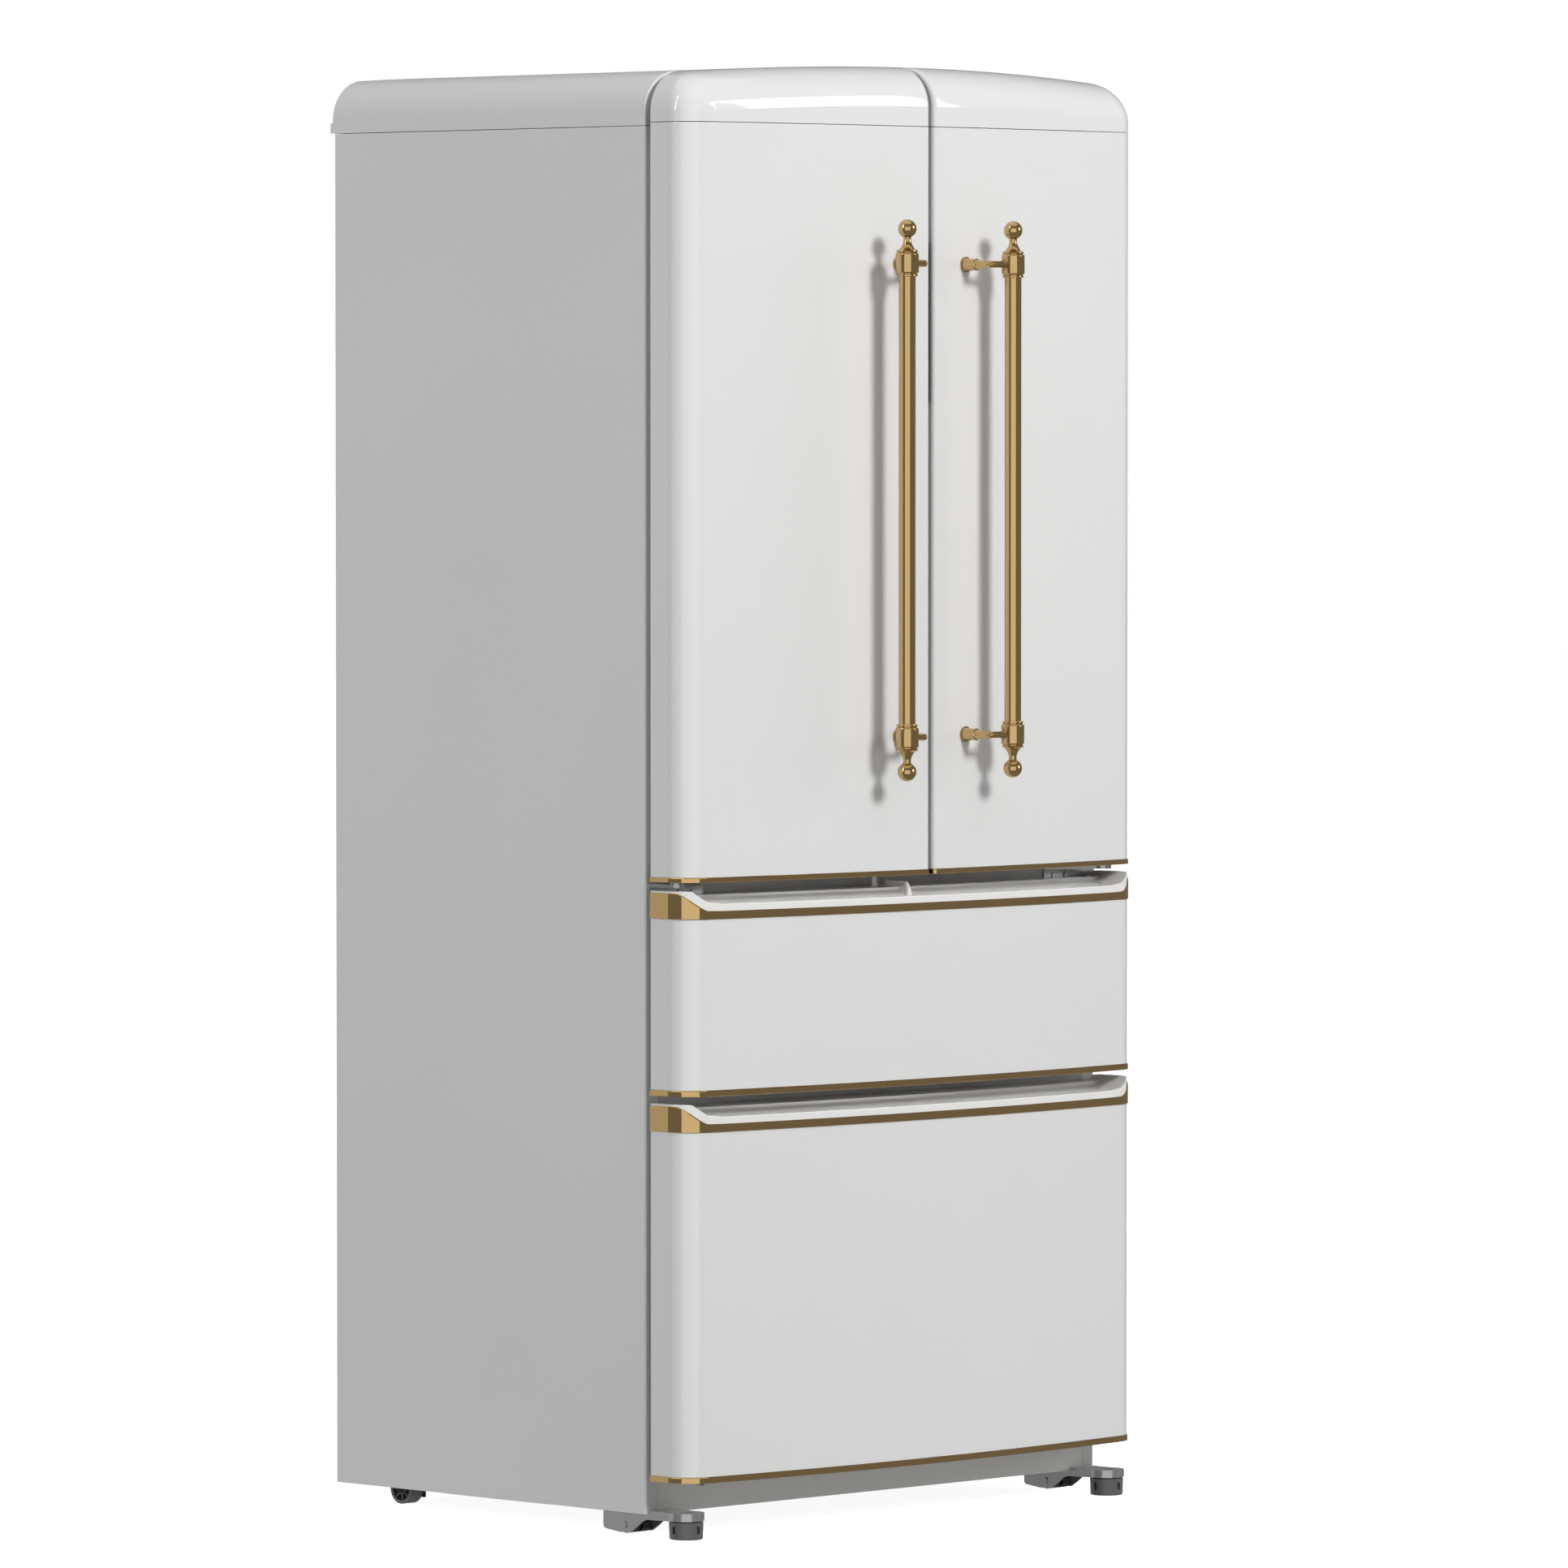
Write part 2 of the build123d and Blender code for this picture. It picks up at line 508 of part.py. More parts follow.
with BuildPart() as door_hinges:
    for side in (-1, 1):
        pin = side * PIN_X
        inner_root = (side * ROOT_X[0], side * ROOT_X[1])
        hinge_arm(side, GAP_PLATE_Z, GAP_PLATE_T, FRONT_Y, inner_root, 22)
        low, high = sorted(inner_root)
        box_between((low, FRONT_Y - 3, LUG_Z), (high, FRONT_Y, GAP_PLATE_Z + GAP_PLATE_T))
        with Locations((pin, PIN_Y, GAP_PLATE_Z)):
            Cylinder(PIN_R, GAP_PLATE_T + PIN_UP, align=(Align.CENTER, Align.CENTER, Align.MIN))
            Cylinder(KNUCKLE_R, GAP_PLATE_T + 1.6, align=(Align.CENTER, Align.CENTER, Align.MIN))
        hinge_arm(side, ARM_Z, ARM_T, FRONT_Y + 8, (pin - 12, pin + 12), 20)
        box_between((pin - 14, FRONT_Y + 5.5, CRACK_Z), (pin + 14, FRONT_Y + 80, ARM_Z + ARM_T))
        with Locations((pin, PIN_Y, ARM_Z + ARM_T)):
            Cylinder(PIN_R, ARM_T + 14, align=(Align.CENTER, Align.CENTER, Align.MAX))
save(door_hinges, "door_hinges")


# ---- doors ---------------------------------------------------------------------------------
def stretch(side, inset=0.0):
    """Left and right limits of one door, moved in from the gap between the doors by inset."""
    edge = DOOR_SPLIT / 2 + inset
    return (-FAR, -edge) if side < 0 else (edge, FAR)


def slab(plane_z, height, face, mode=Mode.ADD):
    """Raise a plan outline from plane_z into the part being made."""
    extrude(face.moved(Location((0, 0, plane_z))), amount=height, mode=mode)


def front_shell(low, high, outer=(-FAR, FAR), inner=(-FAR, FAR)):
    """Formed sheet front: bowed face, sides, floor and roof, open at the back."""
    slab(low, high - low, plan(0, DOOR_BACK_Y, *outer))
    slab(low + SHEET, high - low - 2 * SHEET, plan(-SHEET, DOOR_BACK_Y + 5, *inner), Mode.SUBTRACT)


LINER_PLATE = 2.5
DYKE_BACK = 25.0
HINGE_DYKE_X = (312.0, 332.0)
FREE_DYKE_X = (33.0, 50.0)
DYKE_Z = (838.0, 1630.0)
BIN_Z = (1030.0, 1230.0, 1430.0)
BIN_H = 100.0
BIN_BACK = 72.0
GASKET_W = 16.0
GASKET_Z = (801.0, 1690.0)
MULLION_Z = (840.0, 1628.0)
MULLION_X = (-30.0, -12.0)
MULLION_Y = (FRONT_Y + 3.5, FRONT_Y + 49)
MULLION_AXIS = (-16.0, FRONT_Y + 6)
PIVOT_R = 2.0
PIVOT_REACH = 4.0                                 # pivot past each end of the mullion
CLIP_T = 4.0                                      # clips on the left door that hold the pivots


def ring(outer, inner, low, high):
    """Flat sealing ring between two planes along Y; outer and inner are (x0, z0, x1, z1)."""
    box_between((outer[0], low, outer[1]), (outer[2], high, outer[3]))
    box_between((inner[0], low - 1, inner[1]), (inner[2], high + 1, inner[3]), Mode.SUBTRACT)


def span(side, a, b):
    return tuple(sorted((side * a, side * b)))


for side, name in ((-1, "left"), (1, "right")):
    with BuildPart() as door_skin:
        front_shell(DOOR_BODY_Z, DOOR_CRACK_Z, stretch(side), stretch(side, SHEET))
        with Locations((side * PIN_X, PIN_Y, DOOR_BODY_Z), (side * PIN_X, PIN_Y, DOOR_CRACK_Z)):
            Cylinder(PIN_R + FIT, 3 * SHEET, mode=Mode.SUBTRACT)
    save(door_skin, f"{name}_door_skin")

    with BuildPart() as door_cap:
        add(door_dome(0, DOOR_CRACK_Z + CRACK, DOOR_BACK_Y))
        add(door_dome(CAP_WALL, DOOR_CRACK_Z - 5, DOOR_BACK_Y - CAP_WALL), mode=Mode.SUBTRACT)
        edge = side * DOOR_SPLIT / 2
        middle = sorted((edge, edge + side * CAP_WALL))
        box_between((middle[0], DOOR_BACK_Y - 84, DOOR_CRACK_Z + CRACK),
                    (middle[1], DOOR_BACK_Y, TOTAL_H - 2))
        cut = sorted((edge, -side * FAR))
        box_between((cut[0], -FAR, 0), (cut[1], FAR, 2 * FAR), Mode.SUBTRACT)
        notch = sorted((side * (PIN_X - 18), side * FAR))
        box_between((notch[0], DOOR_BACK_Y - 44, DOOR_CRACK_Z),
                    (notch[1], DOOR_BACK_Y + 5, ARM_Z + ARM_T + 1), Mode.SUBTRACT)
    save(door_cap, f"{name}_door_cap")

    with BuildPart() as door_trim:
        slab(DOOR_BOTTOM_Z, DOOR_TRIM_H, plan(TRIM_PROUD, DOOR_BACK_Y, *stretch(side)))
        slab(DOOR_BOTTOM_Z - 1, DOOR_TRIM_H + 2,
             plan(-10, DOOR_BACK_Y + 5, *stretch(side, 12)), Mode.SUBTRACT)
    save(door_trim, f"{name}_door_trim")

    with BuildPart() as door_liner:
        plate = span(side, DOOR_SPLIT / 2 + SHEET, DOOR_HALF_W - SHEET)
        box_between((plate[0], DOOR_BACK_Y - LINER_PLATE, DOOR_BODY_Z + SHEET),
                    (plate[1], DOOR_BACK_Y, DOOR_CRACK_Z - SHEET))
        for low, high in (span(side, *HINGE_DYKE_X), span(side, *FREE_DYKE_X)):
            box_between((low, DOOR_BACK_Y - LINER_PLATE, DYKE_Z[0]), (high, FRONT_Y + DYKE_BACK, DYKE_Z[1]))
        well = span(side, FREE_DYKE_X[0], HINGE_DYKE_X[1])
        for z in (DYKE_Z[0], DYKE_Z[1] - 16):
            box_between((well[0], DOOR_BACK_Y - LINER_PLATE, z), (well[1], FRONT_Y + DYKE_BACK, z + 16))
        if side < 0:
            for z in (MULLION_Z[0] - CLEAR - CLIP_T, MULLION_Z[1] + CLEAR):
                box_between((-FREE_DYKE_X[1] + 5, MULLION_AXIS[1] - 5, z),
                            (MULLION_AXIS[0] + 5, MULLION_AXIS[1] + 5, z + CLIP_T))
                with Locations((*MULLION_AXIS, z)):
                    Cylinder(PIVOT_R + FIT, 3 * CLIP_T, mode=Mode.SUBTRACT)
    save(door_liner, f"{name}_door_liner")

    with BuildPart() as door_gasket:
        x0, x1 = span(side, 9, PIN_X - 5)
        z0, z1 = GASKET_Z
        ring((x0, z0, x1, z1), (x0 + GASKET_W, z0 + GASKET_W, x1 - GASKET_W, z1 - GASKET_W),
             DOOR_BACK_Y, FRONT_Y - CLEAR)
    save(door_gasket, f"{name}_door_gasket")

    with BuildPart() as door_bins:
        x0, x1 = span(side, FREE_DYKE_X[1], HINGE_DYKE_X[0])
        for z in BIN_Z:
            add(open_bin((x0, DOOR_BACK_Y, z), (x1, FRONT_Y + BIN_BACK, z + BIN_H), BIN_WALL, 8))
    save(door_bins, f"{name}_door_bins")

    with BuildPart() as handle_bar:
        with BuildSketch(Plane(origin=(side * ROD_X, ROD_Y, 0), x_dir=(1, 0, 0), z_dir=(0, -1, 0))):
            with BuildLine():
                lower_z, upper_z = POST_Z
                ring_end = FERRULE_H / 2 + RING_H
                neck = ring_end + 7
                neck_end = BALL_OFFSET - sqrt(BALL_R**2 - NECK_R**2)
                ferrule = [(ROD_R, -ring_end), (RING_R, -ring_end), (RING_R, -FERRULE_H / 2),
                           (FERRULE_R, -FERRULE_H / 2), (FERRULE_R, FERRULE_H / 2), (RING_R, FERRULE_H / 2),
                           (RING_R, ring_end)]
                lower = [(r, lower_z - z) for r, z in reversed(ferrule)]
                upper = [(r, upper_z + z) for r, z in ferrule]
                low_tip = (0, lower_z - BALL_OFFSET - BALL_R)
                high_tip = (0, upper_z + BALL_OFFSET + BALL_R)
                ThreePointArc(low_tip, (BALL_R, lower_z - BALL_OFFSET), (NECK_R, lower_z - neck_end))
                Line((NECK_R, lower_z - neck_end), (NECK_R, lower_z - neck))
                ThreePointArc((NECK_R, lower_z - neck), (7.5, lower_z - neck + 5), lower[0])
                Polyline(*lower, *upper)
                ThreePointArc(upper[-1], (7.5, upper_z + neck - 5), (NECK_R, upper_z + neck))
                Line((NECK_R, upper_z + neck), (NECK_R, upper_z + neck_end))
                ThreePointArc((NECK_R, upper_z + neck_end), (BALL_R, upper_z + BALL_OFFSET), high_tip)
                Line(high_tip, low_tip)
            make_face()
        revolve(axis=Axis((side * ROD_X, ROD_Y, 0), (0, 0, 1)))
    save(handle_bar, f"{name}_handle_bar")

    with BuildPart() as handle_posts:
        base_y = bow_y(POST_X) + SHEET
        elbow_y = ROD_Y + ELBOW_BACK
        reach = base_y - elbow_y
        for z in POST_Z:
            with BuildSketch(Plane(origin=(side * POST_X, base_y, z), x_dir=(1, 0, 0), z_dir=(0, 0, 1))):
                with BuildLine():
                    Polyline((0, 0), (9.75, 0), (9.75, -3.2), (8.3, -3.8), (6.7, -19), (7.2, -19.5),
                             (7.2, -21.5), (5.9, -22), (STALK_R, -reach), (0, -reach), (0, 0))
                make_face()
            revolve(axis=Axis((side * POST_X, 0, z), (0, 1, 0)))
            with Locations((side * POST_X, elbow_y, z)):
                Sphere(STALK_R)
            arm = Vector(side * (ROD_X - POST_X), ROD_Y - elbow_y, 0)
            with Locations(Plane(origin=(side * POST_X, elbow_y, z), z_dir=arm)):
                Cylinder(STALK_R - 0.45, arm.length, align=(Align.CENTER, Align.CENTER, Align.MIN))
            with Locations((side * ROD_X, ROD_Y, z)):
                Cylinder(FERRULE_R, FERRULE_H, mode=Mode.SUBTRACT)
            slab(z - 20, 40, plan(), Mode.SUBTRACT)
    save(handle_posts, f"{name}_handle_posts")

STRIP_Z = (1371.7, 1567.1)                        # black touch strip on the left door's free edge
STRIP_T = 1.6
STRIP_DEPTH = (4.0, 22.0)
with BuildPart() as control_strip:
    box_between((-DOOR_SPLIT / 2, DOOR_FRONT_Y + STRIP_DEPTH[0], STRIP_Z[0]),
                (-DOOR_SPLIT / 2 + STRIP_T, DOOR_FRONT_Y + STRIP_DEPTH[1], STRIP_Z[1]))
save(control_strip, "control_strip")

with BuildPart() as flip_mullion:
    box_between((MULLION_X[0], MULLION_Y[0], MULLION_Z[0]), (MULLION_X[1], MULLION_Y[1], MULLION_Z[1]))
    fillet(flip_mullion.edges().filter_by(Axis.Z), 1.5)
    with Locations((*MULLION_AXIS, sum(MULLION_Z) / 2)):
        Cylinder(PIVOT_R, MULLION_Z[1] - MULLION_Z[0] + 2 * PIVOT_REACH)
save(flip_mullion, "flip_mullion")


# ---- drawers -------------------------------------------------------------------------------
SHOULDER = ((393.3, 0), (384.1, 12), (359.6, 22))   # arc of the band's end: x, drop below the side height


def above_band(side_z, back, rim=0.0):
    """In front of the plane y = back and above the band's edge, which falls from side_z.

    A rim moves the edge in and up, and opens a pocket as deep as the rim between the two ends.
    """
    right = [(x - 0.6 * rim, side_z + rim - drop) for x, drop in SHOULDER]
    left = [(-x, z) for x, z in reversed(right)]
    with BuildPart() as region:
        with BuildSketch(Plane.XZ.offset(-back)):
            with BuildLine():
                ThreePointArc(*right)
                if rim:
                    pocket_x = right[-1][0] - 4
                    pocket_z = right[-1][1] - rim
                    Polyline(right[-1], (pocket_x, pocket_z), (-pocket_x, pocket_z), left[0])
                else:
                    Line(right[-1], left[0])
                ThreePointArc(*left)
                Polyline(left[-1], (left[-1][0], side_z + 60), (right[0][0], side_z + 60), right[0])
            make_face()
        extrude(amount=FAR)
    return region.part


def scoop_trough(band_z):
    """Finger trough behind the lip and the ledge behind it, turned about the centre of the bow."""
    lip_z = band_z + BAND_FRONT_H + SCOOP_LIP_H
    floor_z = band_z + BAND_FRONT_H
    ledge_z = band_z + SCOOP_H - SCOOP_LEDGE
    above_z = band_z + SCOOP_H + 1
    lip = BOW_R - SCOOP_LIP
    wall = BOW_R - SCOOP_DEPTH
    behind = wall - 95
    ahead = BOW_R + 40
    turn = 8.4
    start = Vector(-sin(radians(turn)), -cos(radians(turn)), 0)
    section = Plane(origin=(0, BOW_Y, 0), x_dir=start, z_dir=start.cross(Vector(0, 0, 1)))
    with BuildPart() as trough:
        with BuildSketch(section):
            with BuildLine():
                Polyline((behind, above_z), (ahead, above_z), (ahead, lip_z), (lip, lip_z),
                         (lip - 1, floor_z))
                ThreePointArc((lip - 1, floor_z), (wall + 10, floor_z + 3), (wall, ledge_z))
                Polyline((wall, ledge_z), (behind, ledge_z), (behind, above_z))
            make_face()
        revolve(axis=Axis((0, BOW_Y, 0), (0, 0, 1)), revolution_arc=2 * turn)
    return trough.part


def telescopic(rail_x, z, reach, half_h, web, lip):
    """C section, open towards the middle of the cabinet, as a closed outline in the XZ plane."""
    side = 1 if rail_x > 0 else -1
    inner = rail_x - side * reach
    shift = side * web
    return [(rail_x, z - half_h), (rail_x, z + half_h), (inner, z + half_h), (inner, z + half_h - lip),
            (rail_x - shift, z + half_h - lip), (rail_x - shift, z - half_h + lip), (inner, z - half_h + lip),
            (inner, z - half_h), (rail_x, z - half_h)]


def rail(points, start):
    """Straight rail of the given section, from start to the back."""
    with BuildSketch(Plane.XZ.offset(-(start + RAIL_LENGTH))) as section:
        with BuildLine():
            Polyline(*points)
        make_face()
    extrude(section.sketch, amount=RAIL_LENGTH)


RAIL_X = INNER_HALF_W - LINER
RAIL_WEB = 2.0
RAIL_LIP = 2.0
RAIL_REACH = 20.0
MID_RAIL_X = RAIL_X - RAIL_WEB - RAIL_GAP
BAR_X = MID_RAIL_X - RAIL_WEB - RAIL_GAP
with BuildPart() as fixed_rails:
    for z in (MID_RAIL_Z, LOW_RAIL_Z):
        for side in (-1, 1):
            rail(telescopic(side * RAIL_X, z, RAIL_REACH, 20, RAIL_WEB, RAIL_LIP), FRONT_Y + RAIL_START)
save(fixed_rails, "fixed_rails")

BASKET_HALF_W = 315.0
BASKET_WALL = 3.0
drawers = (
    ("mid", MID_BOTTOM_Z, MID_BAND_Z, MID_RAIL_Z, (572.0, 738.0), 400.0, MID_Z, True),
    ("low", LOW_BOTTOM_Z, LOW_BAND_Z, LOW_RAIL_Z, (112.0, 450.0), 318.0, LOW_Z, False),
)
for name, bottom_z, band_z, rail_z, basket_z, basket_back, opening_z, ribbed in drawers:
    body_z = bottom_z + STRIP_H
    side_z = band_z + BAND_SIDE_H
    with BuildPart() as drawer_front:
        front_shell(body_z, band_z)
    save(drawer_front, f"{name}_drawer_front")

    with BuildPart() as scoop:
        slab(band_z, SCOOP_H, plan())
        add(above_band(side_z, DOOR_BACK_Y, SCOOP_LIP_H).intersect(scoop_trough(band_z)), mode=Mode.SUBTRACT)
        if ribbed:
            with BuildSketch(Plane.XY.offset(band_z + BAND_FRONT_H)) as rib:
                with Locations((0, DOOR_FRONT_Y + sum(RIB_DEPTH) / 2)):
                    RectangleRounded(RIB_W, RIB_DEPTH[1] - RIB_DEPTH[0], RIB_W / 2 - 0.5)
            extrude(rib.sketch, amount=SCOOP_H - BAND_FRONT_H)
        box_between((-354, DOOR_BACK_Y - 34, band_z - 1), (354, DOOR_BACK_Y + 1, band_z + 20), Mode.SUBTRACT)
    save(scoop, f"{name}_drawer_scoop")

    with BuildPart() as trims:
        slab(band_z, BAND_SIDE_H, plan(TRIM_PROUD))
        slab(band_z - 1, BAND_SIDE_H + 2, plan(0, DOOR_BACK_Y + 5), Mode.SUBTRACT)
        add(above_band(side_z, DOOR_BACK_Y - 20), mode=Mode.SUBTRACT)
        slab(bottom_z, STRIP_H, plan(TRIM_PROUD))
        slab(bottom_z - 1, STRIP_H + 2, plan(-10, DOOR_BACK_Y + 5), Mode.SUBTRACT)
    save(trims, f"{name}_drawer_trims")

    with BuildPart() as liner:
        box_between((-DOOR_HALF_W + SHEET, DOOR_BACK_Y - LINER_PLATE, body_z + SHEET),
                    (DOOR_HALF_W - SHEET, DOOR_BACK_Y, band_z - SHEET))
        box_between((-BASKET_HALF_W - 5, DOOR_BACK_Y, max(basket_z[0], body_z + 20)),
                    (BASKET_HALF_W + 5, FRONT_Y + 8, basket_z[1] - 14))
    save(liner, f"{name}_drawer_liner")

    with BuildPart() as gasket:
        x = INNER_HALF_W + 14
        z0, z1 = opening_z[0] - 8, min(opening_z[1] + 6, band_z + 18)
        ring((-x, z0, x, z1), (-x + GASKET_W, z0 + GASKET_W, x - GASKET_W, z1 - GASKET_W),
             DOOR_BACK_Y, FRONT_Y - CLEAR)
    save(gasket, f"{name}_drawer_gasket")

    with BuildPart() as basket:
        add(open_bin((-BASKET_HALF_W, FRONT_Y + 8, basket_z[0]),
                     (BASKET_HALF_W, FRONT_Y + basket_back, basket_z[1]), BASKET_WALL, 16))
        for side in (-1, 1):
            low, high = sorted((side * (BASKET_HALF_W - 2), side * BAR_X))
            box_between((low, FRONT_Y + 8, rail_z - 10),
                        (high, FRONT_Y + RAIL_START + RAIL_LENGTH - 8, rail_z + 10))
    save(basket, f"{name}_drawer_basket")

    with BuildPart() as mid_rails:
        for side in (-1, 1):
            inner_reach = RAIL_REACH - RAIL_WEB - RAIL_GAP
            rail(telescopic(side * MID_RAIL_X, rail_z, inner_reach, 17.5, RAIL_WEB, RAIL_LIP),
                 FRONT_Y + RAIL_START)
    save(mid_rails, f"{name}_drawer_slides")

# ---- feet and rollers ----------------------------------------------------------------------
ARM_TOP_Z = 32.0
PLATE_T = 2.5
CHANNEL_X = (HALF_W - 45, HALF_W - 5)             # outer faces of the two side plates
STEM_R = 6.0
COLLAR_R = 22.0
COLLAR_Z = 22.5
BRACKET_BACK = 78.5
ROLLER_PIN_R = 3.0
FRONT_ROLLER_R = 10.5
with BuildPart() as leg_brackets:
    for side in (-1, 1):
        for outer in CHANNEL_X:
            inner = outer + PLATE_T if outer == CHANNEL_X[0] else outer - PLATE_T
            low, high = sorted((side * outer, side * inner))
            with BuildSketch(Plane(origin=(low, FRONT_Y, 0), x_dir=(0, 1, 0), z_dir=(1, 0, 0))) as plate:
                Polygon((BRACKET_BACK, SIDE_BOTTOM_Z), (BRACKET_BACK, 6), (52, 3), (33, 3), (22, 10),
                        (10, 19), (2, 21), (-FOOT_PROUD, 22), (-FOOT_PROUD, ARM_TOP_Z), (-4, ARM_TOP_Z),
                        (0, SIDE_BOTTOM_Z), align=None)
                fillet(plate.vertices().group_by(Axis.Z)[0], 5)
            extrude(amount=PLATE_T)
        low, high = sorted((side * CHANNEL_X[0], side * CHANNEL_X[1]))
        box_between((low, FRONT_Y + 2, SIDE_BOTTOM_Z - PLATE_T),
                    (high, FRONT_Y + BRACKET_BACK, SIDE_BOTTOM_Z))
        box_between((low, FRONT_Y - FOOT_PROUD, COLLAR_Z), (high, FRONT_Y - 1, ARM_TOP_Z))
        with Locations((side * FOOT_X, FRONT_Y - FOOT_PROUD, COLLAR_Z)):
            Cylinder(COLLAR_R, ARM_TOP_Z - COLLAR_Z, align=(Align.CENTER, Align.CENTER, Align.MIN))
            Cylinder(STEM_R + FIT, 60, mode=Mode.SUBTRACT)
        with Locations((side * FOOT_X, FRONT_Y - FOOT_PROUD, ARM_TOP_Z)):
            CounterSinkHole(STEM_R + FIT, 9, 10)
        with Locations(Plane(origin=(low - 1.5, FRONT_Y + ROLLER_BACK, ROLLER_Z), z_dir=(1, 0, 0))):
            Cylinder(ROLLER_PIN_R, high - low + 3, align=(Align.CENTER, Align.CENTER, Align.MIN))
            Cylinder(ROLLER_PIN_R + 1.5, 1.6, align=(Align.CENTER, Align.CENTER, Align.MIN))
save(leg_brackets, "leg_brackets")

for side, name in ((-1, "left"), (1, "right")):
    with BuildPart() as foot:
        upright = Plane(origin=(side * FOOT_X, FRONT_Y - FOOT_PROUD, 0), x_dir=(1, 0, 0), z_dir=(0, -1, 0))
        with BuildSketch(upright):
            with BuildLine():
                Polyline((0, 0), (FOOT_R - 1.5, 0), (FOOT_R - 0.5, 1), (FOOT_R, FOOT_H - 1),
                         (FOOT_R - 1, FOOT_H), (STEM_R, FOOT_H), (STEM_R, ARM_TOP_Z - 4), (0, ARM_TOP_Z - 4),
                         (0, 0))
            make_face()
        revolve(axis=Axis((side * FOOT_X, FRONT_Y - FOOT_PROUD, 0), (0, 0, 1)))
        with Locations((side * FOOT_X, FRONT_Y - FOOT_PROUD, FOOT_H * 0.55)):
            with PolarLocations(FOOT_R, 4):
                Box(7, 5, 9, mode=Mode.SUBTRACT)
    save(foot, f"{name}_foot")

    with BuildPart() as front_roller:
        middle = side * (CHANNEL_X[0] + CHANNEL_X[1]) / 2
        half_l = (CHANNEL_X[1] - CHANNEL_X[0]) / 2 - PLATE_T - CLEAR
        with Locations(Plane(origin=(middle, FRONT_Y + ROLLER_BACK, ROLLER_Z), z_dir=(1, 0, 0))):
            Cylinder(FRONT_ROLLER_R, 2 * half_l)
            Cylinder(FRONT_ROLLER_R + 1, 4, mode=Mode.SUBTRACT)
            Cylinder(8, 5)
            Cylinder(ROLLER_PIN_R + FIT, 60, mode=Mode.SUBTRACT)
    save(front_roller, f"{name}_front_roller")

    with BuildPart() as rear_roller:
        wheel = Plane(origin=(side * REAR_ROLLER_X, FRONT_Y + REAR_ROLLER_BACK, REAR_ROLLER_R),
                      z_dir=(1, 0, 0))
        with Locations(wheel):
            Cylinder(REAR_ROLLER_R, REAR_ROLLER_W)
            Cylinder(REAR_ROLLER_R - 4, REAR_ROLLER_W + 2, mode=Mode.SUBTRACT)
            Cylinder(REAR_ROLLER_R - 3.5, 3)
            Cylinder(7, REAR_ROLLER_W)
            with PolarLocations(11, 8):
                Box(9, 2, REAR_ROLLER_W - 4)
            Cylinder(AXLE_R + FIT, 2 * REAR_ROLLER_W, mode=Mode.SUBTRACT)
    save(rear_roller, f"{name}_rear_roller")

with BuildPart() as screws:
    for x in (-300, 0, 300):
        with Locations(Plane(origin=(x, FRONT_Y, 60), z_dir=(0, -1, 0))):
            Cylinder(SCREW_R, SCREW_HEAD, align=(Align.CENTER, Align.CENTER, Align.MIN))
    for x in (-332, 0, 332):
        for z in (53, 282):
            with Locations(Plane(origin=(x, BACK_Y - SHEET, z), z_dir=(0, 1, 0))):
                Cylinder(SCREW_R, SCREW_HEAD, align=(Align.CENTER, Align.CENTER, Align.MIN))
    for side in (-1, 1):
        for x in (side * 318, side * 340):
            with Locations(Plane(origin=(x, FRONT_Y - 3, LUG_Z + 8), z_dir=(0, -1, 0))):
                Cylinder(SCREW_R, SCREW_HEAD, align=(Align.CENTER, Align.CENTER, Align.MIN))
save(screws, "screws")
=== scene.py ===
"""Looks of the french door refrigerator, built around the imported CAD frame.

Metres, +X right, +Y back, +Z up.
"""

from math import acos, asin, cos, pi, radians, sin, sqrt

import bmesh
import bpy
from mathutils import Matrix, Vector


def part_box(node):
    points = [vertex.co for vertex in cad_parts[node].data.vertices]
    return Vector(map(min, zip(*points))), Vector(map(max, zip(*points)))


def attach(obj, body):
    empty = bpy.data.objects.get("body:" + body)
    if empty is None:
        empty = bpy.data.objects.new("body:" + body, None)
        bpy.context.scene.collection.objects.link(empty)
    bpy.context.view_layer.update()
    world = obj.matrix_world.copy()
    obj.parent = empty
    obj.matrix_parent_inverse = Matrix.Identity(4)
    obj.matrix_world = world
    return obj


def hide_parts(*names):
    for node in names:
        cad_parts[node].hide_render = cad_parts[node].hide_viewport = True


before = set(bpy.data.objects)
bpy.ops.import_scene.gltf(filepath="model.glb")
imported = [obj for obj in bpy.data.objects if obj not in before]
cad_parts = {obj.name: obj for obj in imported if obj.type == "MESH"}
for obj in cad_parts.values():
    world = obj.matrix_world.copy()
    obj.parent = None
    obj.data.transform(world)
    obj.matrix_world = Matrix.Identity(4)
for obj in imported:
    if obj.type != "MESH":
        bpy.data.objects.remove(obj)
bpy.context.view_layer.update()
MM = 0.001

# ---- driving sizes -------------------------------------------------------------------------
BOW_R = 2.922              # radius of the bowed fronts seen from above
CORNER_R = 0.036           # vertical front corners
CROWN_R = 5.400            # radius of the crown seen from the front
SHOULDER_R = 0.050         # shoulders and top front edge
FREE_R = 6 * MM            # rounding of the doors' free edges
EDGE = 0.6 * MM            # rounding of the enamel's long edges
PROUD = 1.6 * MM           # brass past the enamel
BAND_FRONT_H = 9.5 * MM
BAND_SIDE_H = 31.5 * MM
BRASS_EDGE = 0.3 * MM      # small chamfer along the brass's lower edges
LIP_DEPTH = 8 * MM
TROUGH_DEPTH = 47 * MM
SHADE_ANGLE = radians(26)

